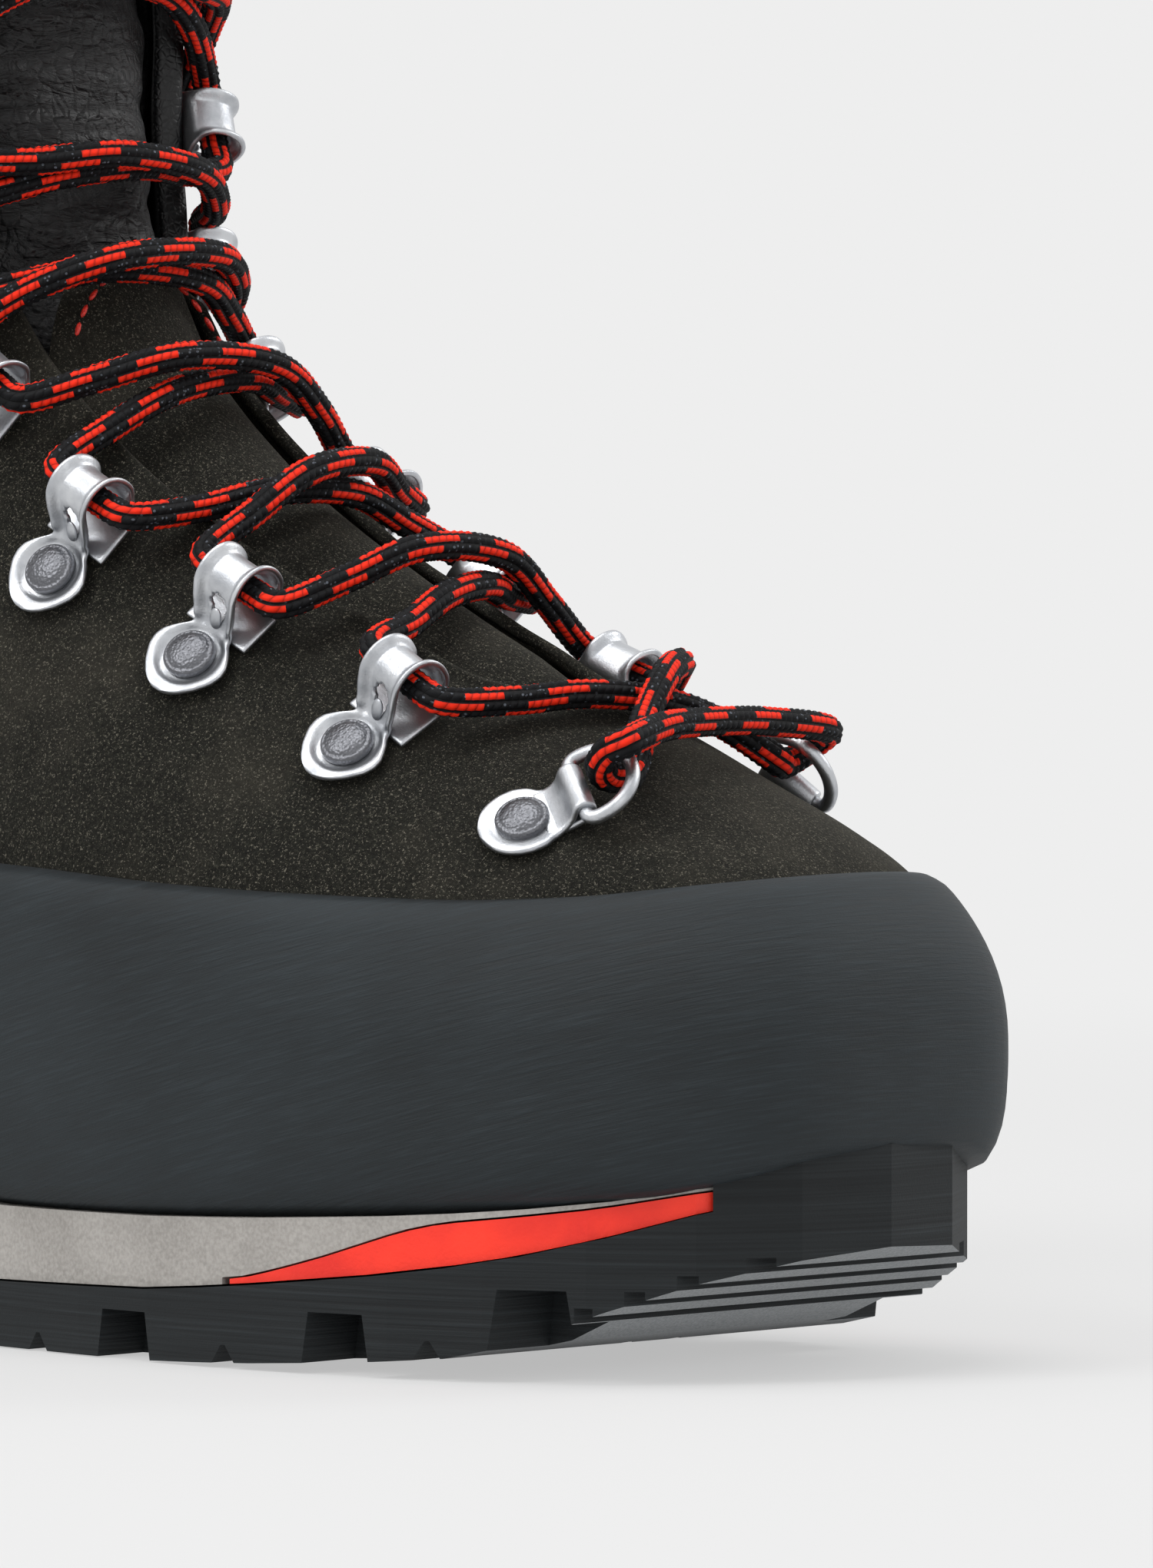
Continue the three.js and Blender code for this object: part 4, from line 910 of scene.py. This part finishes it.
def nubuck():
    # waxed suede: near-black brown nap with pale fibre tips, brushed lighter in patches
    material, shader, where = newMaterial("suede, brushed and waxed", 0.95, Sheen_Weight=0.12,
                                          Sheen_Roughness=0.5)
    shader.inputs["Specular IOR Level"].default_value = 0.15
    shader.inputs["Sheen Tint"].default_value = linear("#8f8a7c")
    nap = node(material, "TexNoise", [("Vector", where, "Object")], Scale=1500.0, Detail=3.0, Roughness=0.8)
    tips = node(material, "TexNoise", [("Vector", where, "Object")], Scale=2600.0, Detail=2.0, Roughness=0.9)
    brushed = node(material, "TexNoise", [("Vector", where, "Object")], Scale=34.0, Detail=5.0,
                   Roughness=0.62)
    tone = ramp(material, nap, "Fac", [(0.32, "#090907"), (0.56, "#171713"), (0.72, "#2b2b24")])
    swept = ramp(material, brushed, "Fac", [(0.5, 0.0), (0.74, 0.5)])
    lit = ramp(material, tips, "Fac", [(0.58, 0.0), (0.68, 0.8)])
    soft = node(material, "Mix", [(0, swept, "Color"), (6, tone, "Color")], data_type="RGBA")
    soft.inputs[7].default_value = linear("#38352e")
    flecked = node(material, "Mix", [(0, lit, "Color"), (6, soft, 2)], data_type="RGBA")
    flecked.inputs[7].default_value = linear("#6b675c")
    connect(material, flecked, 2, shader, "Base Color")
    bump(material, shader, nap, "Fac", 0.0004, 0.7)
    return material


def grainLeather(name, scale, depth, roughness, shade, crease=0.0):
    # full-grain cowhide: pebbles between fine creases, with painted shade darkening the colour into the
    # creases so the crowns read lighter
    material, shader, where = newMaterial(name, roughness, Specular_IOR_Level=0.35)
    cells = node(material, "TexVoronoi", [("Vector", where, "Object")], Scale=scale,
                 feature="DISTANCE_TO_EDGE")
    pores = node(material, "TexNoise", [("Vector", where, "Object")], Scale=scale * 3, Detail=3.0)
    warp = node(material, "Mapping", [("Vector", where, "Object")])
    warp.inputs["Scale"].default_value = (230, 110, 480)
    folds = node(material, "TexNoise", [("Vector", warp, "Vector")], Scale=1.0, Detail=5.0, Roughness=0.6,
                 Distortion=1.2)
    pebble = ramp(material, cells, "Distance", [(0.0, 0.0), (0.22, 1.0)])
    # painted shade: the colour goes near-black toward the creases at the cell edges
    tone = node(material, "Mix", [(0, pebble, "Color")], data_type="RGBA")
    tone.inputs[6].default_value, tone.inputs[7].default_value = linear("#020203"), linear(shade)
    connect(material, tone, 2, shader, "Base Color")
    first = bump(material, shader, pebble, "Color", depth, 0.8)
    second = bump(material, shader, pores, "Fac", depth * 0.4, 0.5, first)
    if crease:
        bump(material, shader, folds, "Fac", crease, 0.9, second)
    return material


def threadMaterial():
    # bonded polyester thread, bright red, twisted
    material, shader, where = newMaterial("polyester thread, red", 0.5)
    twist = node(material, "TexNoise", [("Vector", where, "Object")], Scale=3500.0, Detail=1.0)
    tone = ramp(material, twist, "Fac", [(0.35, "#a3170d"), (0.65, "#e5301f")])
    connect(material, tone, "Color", shader, "Base Color")
    bump(material, shader, twist, "Fac", 0.0001, 0.6)
    return material


randRubber, suede, redThread = rubberRand(), nubuck(), threadMaterial()
smoothLeather = grainLeather("cowhide, smooth, black", 900.0, 0.00008, 0.42, "#0a0b0c")
wrinkledLeather = grainLeather("cowhide, tumbled and wrinkled, black", 420.0, 0.00022, 0.44, "#0b0c0d",
                               0.0011)
collarLeather = grainLeather("cowhide, soft, for padding", 700.0, 0.00012, 0.5, "#0b0c0d", 0.0004)


def makeRand():
    # one closed band: up the outer face, over the skived top edge and down the inside
    parts = upperParts
    count, rows = parts["around"], parts["randRows"]
    low = edgeLine(edges["soleTop"], count, 0.3)
    high = edgeLine(edges["rand"], count)
    outerShare, thin = parts["outerShare"], parts["randEdge"]
    bm = plainGrid(count, rows)
    for vert in bm.verts:
        i = int(round((vert.co.x + 0.5) * count)) % count
        v = vert.co.y + 0.5
        a, b = Vector(low[i]), Vector(high[i])
        height = (b - a).length
        if v <= outerShare:  # outer face
            t = (v / outerShare) ** 0.85
            fromTop, fromFoot = (1 - t) * height, t * height
            thick = thin + (parts["randThick"] - thin) * math.sqrt(min(1, fromTop / parts["skive"] + 0.03))
            thick -= parts["tuck"] * (1 - math.sqrt(1 - (1 - min(1, fromFoot / parts["tuckHeight"])) ** 2))
            thick += 0.25 * noise.noise(a.lerp(b, t) * 0.02)
            vert.co = onSkin(a.lerp(b, t), 0.3 + thick)
        else:
            t = 1 - (v - outerShare) / (1 - outerShare)
            vert.co = onSkin(a.lerp(b, t), 0.3)
    finishPiece("rubberRand", closeTube(bm), randRubber, "boot", ["rand"])


def throatHalf(section):
    # degrees from the middle of the throat to its edge
    return np.interp(section, [row[0] for row in edges["throat"]], [row[1] for row in edges["throat"]])


def sectionAtHeight(table, degrees, sign, lowest=7.5, highest=14.9, rise=0.0):
    # where a line at this angle crosses the height of an edge, or of one raised above it
    low, high = lowest, highest
    for turn in range(26):
        mid = (low + high) / 2
        point = bare(mid, math.radians(sign * degrees))
        if point[2] < float(curveAt(table, point[0])) + rise:
            low = mid
        else:
            high = mid
    return (low + high) / 2


def seamAndThroat(sign):
    # from the back of the heel along the cuff's seam, then down the throat's edge to its front end
    seam = [bare(sectionAtHeight(edges["cuff"], a, sign, 8.2), math.radians(sign * a))
            for a in np.linspace(180, throatHalf(9.1) + 3.5, 60)]
    corner = sectionAtHeight(edges["cuff"], throatHalf(9.1), sign, 8.2)
    throat = [bare(s, math.radians(sign * throatHalf(s))) for s in np.linspace(corner - 0.12, 4.36, 60)]
    return np.array(seam + throat)


def makeSuede():
    parts = upperParts
    half = parts["around"] // 2
    rings = {side: resample(seamAndThroat(sign), half) for side, sign in sides.items()}
    high = np.vstack([rings["outer"][:-1], rings["inner"][::-1][:-1]])
    low = edgeLine(edges["rand"], parts["around"], -parts["hidden"])
    count = len(high)
    low = np.vstack([resample(low[:half + 1], half)[:-1],
                     resample(np.vstack([low[half:], low[:1]]), half)[:-1]])

    def offset(v, a, b):
        fromTop = (1 - v) * float(np.linalg.norm(b - a))
        roll = parts["throatRoll"] * math.exp(-((fromTop
                                                 - 2.2) / 2.4) ** 2) - 1.2 * math.exp(-(fromTop / 0.9) ** 2)
        p = Vector(a).lerp(Vector(b), v)
        hidden = -0.25 * (1 - smoothStep(v * 6))
        return 0.05 + roll * 0.8 + hidden + 0.45 * noise.noise(p * 0.035) + 0.15 * noise.noise(p * 0.12)

    bm = stretched(plainGrid(count, parts["suedeRows"]), count, low, high, offset)
    bmesh.ops.remove_doubles(bm, verts=bm.verts, dist=1e-3)
    bmesh.ops.recalc_face_normals(bm, faces=bm.faces)
    finishPiece("suedeUpper", bm, suede, "boot", ["suede_upper"],
                [("SOLIDIFY", {"thickness": parts["suedeThick"] * mm, "offset": -1})])


def resample(line, count):
    line = np.asarray(line, float)
    along = np.concatenate([[0], np.cumsum(np.linalg.norm(np.diff(line, axis=0), axis=1))])
    at = np.linspace(0, along[-1], count + 1)
    return np.stack([np.interp(at, along, line[:, k]) for k in range(3)], 1)


def stitchRow(bm, line, length=2.3, space=1.0, width=0.42, lift=0.15):
    # short thread beads set into the leather along a line of points and outward directions
    points, normals = line
    along = np.concatenate([[0], np.cumsum(np.linalg.norm(np.diff(points, axis=0), axis=1))])
    for start in np.arange(1.5, along[-1] - length - 1, length + space):
        ends = [Vector([np.interp(at, along, points[:, k]) for k in range(3)])
                for at in (start, start + length)]
        n = Vector([np.interp(start + length / 2, along, normals[:, k]) for k in range(3)]).normalized()
        x = (ends[1] - ends[0]).normalized()
        y = n.cross(x).normalized()
        bead = bmesh.ops.create_uvsphere(bm, u_segments=8, v_segments=6, radius=1)["verts"]
        matrix = Matrix.Translation((ends[0] + ends[1]) / 2 + n * lift) @ Matrix(
            (x * length * 0.56, y * width, n * width)).transposed().to_4x4()
        bmesh.ops.transform(bm, verts=bead, matrix=matrix)


def skinLine(sectionsAndAngles, offset):
    s, a = (np.array(values, float) for values in zip(*sectionsAndAngles))
    return onUpper(s, a, offset), outward(s, np.radians(a))


def makeStitches():
    bm = bmesh.new()
    for sign in sides.values():
        for below in (2.6, 5.4):  # two rows under the cuff's seam
            rows = []
            for a in np.linspace(throatHalf(9) + 2.5, 176, 70):
                s = sectionAtHeight(edges["cuff"], a, sign, 7.9, rise=-below)
                rows.append((s, sign * a))
            stitchRow(bm, skinLine(rows, 0.55), 2.4, 1.1)
        rows = [(s, sign * 173.4) for s in np.linspace(12.9, 14.5, 30)]  # along each edge of the backstay
        stitchRow(bm, skinLine(rows, 2.0), 2.4, 1.1)
        # behind the rolled cuff edge
        rows = [(s, sign * (throatHalf(s) + 9)) for s in np.linspace(10.2, 14.1, 60)]
        stitchRow(bm, skinLine(rows, 0.45), 2.4, 1.1)
    # top of the suede tongue
    dome = [(8.92 - 0.75 * (abs(a) / 24) ** 2.2, a) for a in np.linspace(-23, 23, 60)]
    stitchRow(bm, skinLine(dome, 0.35), 2.4, 1.1)
    finishPiece("redStitches", bm, redThread, "boot", [])


makeRand()
makeSuede()
print("rand and suede made")
makeStitches()


# tongue, cuffs, collar and loop
softParts = {
    "tongueUnder": -3.0, "vampTop": (9.35, 0.95, 27), "vampThick": 2.2, "padFrom": 8.35, "padTo": 14.88,
    "padDeep": -9.3, "padCrown": 0.3, "tongueLap": 4, "collarDepth": 33, "collarRise": 5,
    "collarOffsets": (-2.2, -8.0), "backstay": (12.9, 14.7, 8.8, 0.35, 1.6),
}


def tongueCrown(section, degrees, low, high):
    # the tongue swells between the two edges of the throat and lies flat under them
    half = throatHalf(section)
    reach = np.minimum(1, np.abs(degrees) / np.maximum(half - 1, 1))
    return low + (high - low) * np.minimum(1, half / 18) * np.cos(np.pi / 2 * reach) ** 1.5


def signedPower(value, power):
    return np.sign(value) * np.abs(value) ** power


def ripple(points, scale, depth):
    return depth * np.array([noise.noise(Vector(p) * scale) for p in points])


def makeTongue():
    parts = softParts

    def vamp(u, v):
        turn = u * 2 * np.pi
        side = signedPower(np.cos(turn), 0.55)
        high, drop, spread = parts["vampTop"]
        top = high - drop * (np.abs(side) * 30 / spread) ** 2
        section = 4.5 + (top - 4.5) * v
        half = throatHalf(section) + parts["tongueLap"] * np.minimum(1, (section - 4.3))
        degrees = half * side
        up = tongueCrown(section, degrees, parts["tongueUnder"], -0.3)
        up = up + 0.9 * smoothStep((v - 0.86) / 0.1)
        middle = up - parts["vampThick"] / 2
        flat = onUpper(section, degrees, 0)
        offset = middle + signedPower(np.sin(turn), 0.45) * parts["vampThick"] / 2 + ripple(flat, 0.05, 0.5)
        return onUpper(section, degrees, offset)

    finishPiece("tongueSuede", closeTube(gridMesh(160, 150, vamp)), suede, "boot", ["tongue_vamp"])

    def pad(u, v):
        turn = u * 2 * np.pi
        side = signedPower(np.cos(turn), 0.6)
        end = np.clip(1 - np.abs(2 * v - 1) ** 16, 0, 1) ** 0.5
        section = parts["padFrom"] + (parts["padTo"] - parts["padFrom"]) * v
        degrees = (throatHalf(section) + parts["tongueLap"] + 0.5) * side
        up = tongueCrown(section, degrees, parts["tongueUnder"], parts["padCrown"])
        flat = onUpper(section, degrees, 0)
        folded = ripple(flat * np.array([1, 0.45, 2.2]), 0.07, 1.3) + ripple(flat * np.array([1, 0.6, 1.6]),
                                                                             0.2, 0.55)
        up = up - 0.7 + folded - 1.6 * smoothStep((9.5 - section) / 0.5)
        middle = (up + parts["padDeep"]) / 2
        offset = middle + signedPower(np.sin(turn), 0.5) * (up - middle) * end
        return onUpper(section, degrees, offset)

    piece = finishPiece("tonguePad", closeTube(gridMesh(150, 240, pad)), wrinkledLeather, "boot",
                        ["tongue_pad"])


def makeCuffs():
    parts = upperParts
    columns, rows = parts["cuffColumns"], parts["cuffRows"]
    for side, sign in sides.items():
        share = np.linspace(0, 1, columns + 1)
        start = throatHalf(9.3)
        angles = start + (179.7 - start) * share
        low = np.array([sectionAtHeight(edges["cuff"], a, sign, 8.2, rise=0.3) for a in angles])
        high = np.array([sectionAtHeight(edges["collar"], a, sign, 8.2) for a in angles])

        def leather(u, v):
            s = np.interp(u, share, low) + (np.interp(u, share, high) - np.interp(u, share, low)) * v
            half = throatHalf(s)
            degrees = half + (179.7 - half) * u
            reach = np.maximum(0, degrees - half) * math.pi / 180 * 48
            roll = 1.9 * np.exp(-((reach - 3.2) / 2.5) ** 2) - 2.4 * np.exp(-(reach / 1.0) ** 2)
            seam = -0.55 * np.exp(-((reach - 7.4) / 0.9) ** 2)
            edge = -0.9 * np.exp(-((1 - v) * 60 / 1.6) ** 2)
            flat = onUpper(s, sign * degrees, 0)
            puff = ripple(flat, 0.03, 0.8) + ripple(flat * np.array([1, 1, 1.8]), 0.09, 0.35)
            return onUpper(s, sign * degrees, 0.15 + roll + seam + edge + puff * np.minimum(1, reach / 8))

        bm = gridMesh(columns, rows, leather)
        bmesh.ops.recalc_face_normals(bm, faces=bm.faces)
        first = next(iter(bm.faces))
        centre = first.calc_center_median()
        if first.normal.dot(centre - Vector((-80, 0, centre.z))) < 0:
            bmesh.ops.reverse_faces(bm, faces=bm.faces)
        finishPiece(f"cuff_{side}", bm, smoothLeather, "boot", [f"cuff_{side}"],
                    [("SOLIDIFY", {"thickness": parts["cuffThick"] * mm, "offset": -1})])


def makeCollar():
    parts = softParts
    columns, rows = 60, 260
    share = np.linspace(0, 1, 121)
    lap = throatHalf(14) + 6.5
    turns = lap + (360 - 2 * lap) * share
    folded = np.where(turns > 180, 360 - turns, turns)
    high = np.array([sectionAtHeight(edges["collar"], a, 1, 9, 14.97, parts["collarRise"])
                     for a in folded])
    low = np.array([sectionAtHeight(edges["collar"], a, 1, 8.5, 14.9, -parts["collarDepth"])
                    for a in folded])
    out, deep = parts["collarOffsets"]

    def pad(u, v):
        turn = u * 2 * np.pi
        rise = (1 + signedPower(np.sin(turn), 0.8)) / 2
        bottom, top = np.interp(v, share, low), np.interp(v, share, high)
        section = bottom + (top - bottom) * rise
        degrees = np.interp(v, share, turns)
        flat = onUpper(section, degrees, 0)
        end = np.clip(1 - np.abs(2 * v - 1) ** 40, 0, 1) ** 0.5
        middle = (out + deep) / 2
        cross = signedPower(np.cos(turn), 0.55) * (out - deep) / 2 * end
        pulled = 0.7 * np.exp(-((rise - 0.5) / 0.06) ** 2) * (np.cos(turn) < 0)
        return onUpper(section, degrees, middle + cross + pulled + ripple(flat, 0.06, 0.5))

    piece = finishPiece("collarPad", closeTube(gridMesh(columns, rows, pad)), collarLeather, "boot",
                        ["collar_pad"])


def makeBackstay():
    first, final, half, base, top = softParts["backstay"]

    def strip(u, v):
        turn = u * 2 * np.pi
        section = first + (final - first) * v
        end = np.clip(1 - np.abs(2 * v - 1) ** 30, 0, 1) ** 0.5
        offset = base + (top - base) * (0.5 + 0.5 * signedPower(np.sin(turn), 0.6) * end)
        return onUpper(section, 180 + half * signedPower(np.cos(turn), 0.5), offset)

    finishPiece("backstay", closeTube(gridMesh(60, 120, strip)), smoothLeather, "boot",
                ["backstay"])


def webbingMaterial():
    # woven nylon webbing: ribs across the width, each a row of small twill blocks
    material, shader, _ = newMaterial("nylon webbing, black", 0.6)
    uv = node(material, "UVMap", uv_map="surface")
    brick = node(material, "TexBrick", [("Vector", uv, "UV")], Scale=1.0, Brick_Width=0.0022,
                 Row_Height=0.0009, Mortar_Size=0.00012, Mortar_Smooth=1.0, Color1=linear("#1d1e20"),
                 Color2=linear("#28292c"), Mortar=linear("#08080a"))
    connect(material, brick, "Color", shader, "Base Color")
    bump(material, shader, brick, "Fac", 0.0003, -0.9)
    return material


def makePullLoop():
    low, high = (Vector(corner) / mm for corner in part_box("pull_loop"))
    thick = 1.7
    middle, depth, height, width = (low + high) / 2, high.x - low.x, high.z - low.z, high.y - low.y
    radius = (depth - thick) / 2
    straight = height - depth
    total = 2 * straight + 2 * math.pi * radius
    line = []
    for at in np.linspace(0, total, 160, endpoint=False):
        if at < straight:
            line.append((radius, at - straight / 2))
        elif at < straight + math.pi * radius:
            a = (at - straight) / radius
            line.append((radius * math.cos(a), straight / 2 + radius * math.sin(a)))
        elif at < 2 * straight + math.pi * radius:
            line.append((-radius, straight / 2 - (at - straight - math.pi * radius)))
        else:
            a = (at - 2 * straight - math.pi * radius) / radius
            line.append((-radius * math.cos(a), -straight / 2 - radius * math.sin(a)))
    line = np.array(line)
    across = np.roll(line, -1, 0) - np.roll(line, 1, 0)
    across = np.stack([across[:, 1], -across[:, 0]], 1) / np.linalg.norm(across, axis=1, keepdims=True)

    def band(u, v):
        i = np.rint(v * 160).astype(int) % 160
        turn = u * 2 * np.pi
        out = signedPower(np.sin(turn), 0.35) * thick / 2 * 0.94
        y = signedPower(np.cos(turn), 0.25) * width / 2 * 0.985
        return np.stack([middle.x + line[i, 0] + across[i, 0] * out, middle.y + y,
                         middle.z + line[i, 1] + across[i, 1] * out], 1)

    bm = gridMesh(40, 160, band, (2 * (width + thick) * mm, total * mm))
    bmesh.ops.remove_doubles(bm, verts=bm.verts, dist=1e-3)
    bmesh.ops.recalc_face_normals(bm, faces=bm.faces)
    finishPiece("pullLoop", bm, webbingMaterial(), "pull_loop", ["pull_loop"])


# sole and inner parts: materials for the solids that keep their shape
def pebbledFoam():
    # polyurethane midsole with a moulded pebble and traces of dust
    material, shader, where = newMaterial("polyurethane foam, pebbled, grey", 0.72)
    pebbles = node(material, "TexVoronoi", [("Vector", where, "Object")], Scale=900.0, feature="SMOOTH_F1")
    pebbles.inputs["Smoothness"].default_value = 0.7
    dust = node(material, "TexNoise", [("Vector", where, "Object")], Scale=60.0, Detail=6.0, Roughness=0.6)
    fine = node(material, "TexNoise", [("Vector", where, "Object")], Scale=1800.0, Detail=2.0)
    tone = ramp(material, dust, "Fac", [(0.3, "#85817c"), (0.55, "#a19d98"), (0.75, "#aca8a3")])
    speck = ramp(material, fine, "Fac", [(0.35, "#8f8b86"), (0.65, "#aba7a2")])
    mixed = node(material, "Mix", [(6, tone, "Color"), (7, speck, "Color")], data_type="RGBA")
    mixed.inputs[0].default_value = 0.5
    connect(material, mixed, 2, shader, "Base Color")
    first = bump(material, shader, pebbles, "Distance", 0.0003, 0.6)
    bump(material, shader, fine, "Fac", 0.0001, 0.4, first)
    return material


def redFoam():
    # cast polyurethane wedge, saturated red with a slight skin
    material, shader, where = newMaterial("polyurethane, red, smooth", 0.5)
    clouds = node(material, "TexNoise", [("Vector", where, "Object")], Scale=90.0, Detail=5.0)
    fine = node(material, "TexNoise", [("Vector", where, "Object")], Scale=1500.0, Detail=2.0)
    tone = ramp(material, clouds, "Fac", [(0.3, "#e01d0c"), (0.7, "#ff3216")])
    connect(material, tone, "Color", shader, "Base Color")
    bump(material, shader, fine, "Fac", 0.00015, 0.5)
    return material


def soleRubber():
    # carbon rubber: moulding lines along the side wall, and a paler grey base colour where the toe's surface
    # faces down
    material, shader, where = newMaterial("carbon rubber, moulded", 0.7, Specular_IOR_Level=0.3)
    stretch = node(material, "Mapping", [("Vector", where, "Object")])
    stretch.inputs["Scale"].default_value = (25, 25, 1900)
    lines = node(material, "TexNoise", [("Vector", stretch, "Vector")], Scale=1.0, Detail=2.0)
    grit = node(material, "TexNoise", [("Vector", where, "Object")], Scale=2600.0, Detail=3.0)
    tone = ramp(material, lines, "Fac", [(0.3, "#111416"), (0.6, "#1a1e20"), (0.8, "#262b2e")])
    shape = node(material, "NewGeometry")
    turned = node(material, "SeparateXYZ", [("Vector", shape, "Normal")])
    under = node(material, "MapRange", [("Value", turned, "Z")], From_Min=-0.25, From_Max=-0.6)
    place = node(material, "SeparateXYZ", [("Vector", where, "Object")])
    toe = node(material, "MapRange", [("Value", place, "X")], From_Min=0.1, From_Max=0.118, To_Max=0.9)
    both = node(material, "Math", [(0, under, "Result"), (1, toe, "Result")], operation="MULTIPLY")
    # paler grey base colour on the toe's downward-facing surfaces, chosen by surface direction
    buffed = ramp(material, grit, "Fac", [(0.3, "#75797b"), (0.7, "#989b9d")])
    mixed = node(material, "Mix", [(0, both, "Value"), (6, tone, "Color"), (7, buffed, "Color")],
                 data_type="RGBA")
    connect(material, mixed, 2, shader, "Base Color")
    first = bump(material, shader, lines, "Fac", 0.0002, 0.8)
    bump(material, shader, grit, "Fac", 0.00008, 0.5, first)
    return material


def fabric(name, light, dark, scale, roughness):
    # a knit: small cells, darker between the threads
    material, shader, where = newMaterial(name, roughness)
    cells = node(material, "TexVoronoi", [("Vector", where, "Object")], Scale=scale)
    tone = ramp(material, cells, "Distance", [(0.1, light), (0.7, dark)])
    connect(material, tone, "Color", shader, "Base Color")
    bump(material, shader, cells, "Distance", 0.0003, -0.7)
    return material


def plasticMaterial(name, light, dark, roughness):
    # moulded sheet with a faint grain
    material, shader, where = newMaterial(name, roughness)
    grain = node(material, "TexNoise", [("Vector", where, "Object")], Scale=1200.0, Detail=4.0)
    tone = ramp(material, grain, "Fac", [(0.35, dark), (0.65, light)])
    connect(material, tone, "Color", shader, "Base Color")
    bump(material, shader, grain, "Fac", 0.0001, 0.5)
    return material


def fittedMaterials():
    stiff = plasticMaterial("thermoplastic sheet", "#c9c4b4", "#b5b0a0", 0.5)
    lined = fabric("polyester mesh lining", "#2e3134", "#0c0d0e", 900.0, 0.9)
    given = {
        "outsole": soleRubber(), "midsole": pebbledFoam(), "forefoot_wedge": redFoam(),
        "heel_crampon_plate": plasticMaterial("nylon plate, black", "#2a2c2e", "#1c1e20", 0.45),
        "shank": plasticMaterial("glass-filled nylon", "#3a3c3e", "#2b2d2f", 0.4), "toe_puff": stiff,
        "heel_counter": stiff, "lasting_board": fabric("pressed fibre board", "#9b7a55", "#7c5f3f", 1400.0,
                                                       0.9),
        "footbed": fabric("needle felt over foam", "#3b3e42", "#1d1f22", 1600.0, 0.95), "lining": lined,
        "gusset_outer": lined, "gusset_inner": lined,
    }
    for name, material in given.items():
        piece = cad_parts[name]
        for slot in piece.material_slots:
            slot.material = material


makeTongue()
makeCuffs()
makeCollar()
makeBackstay()
makePullLoop()
fittedMaterials()
print("upper and sole finished")
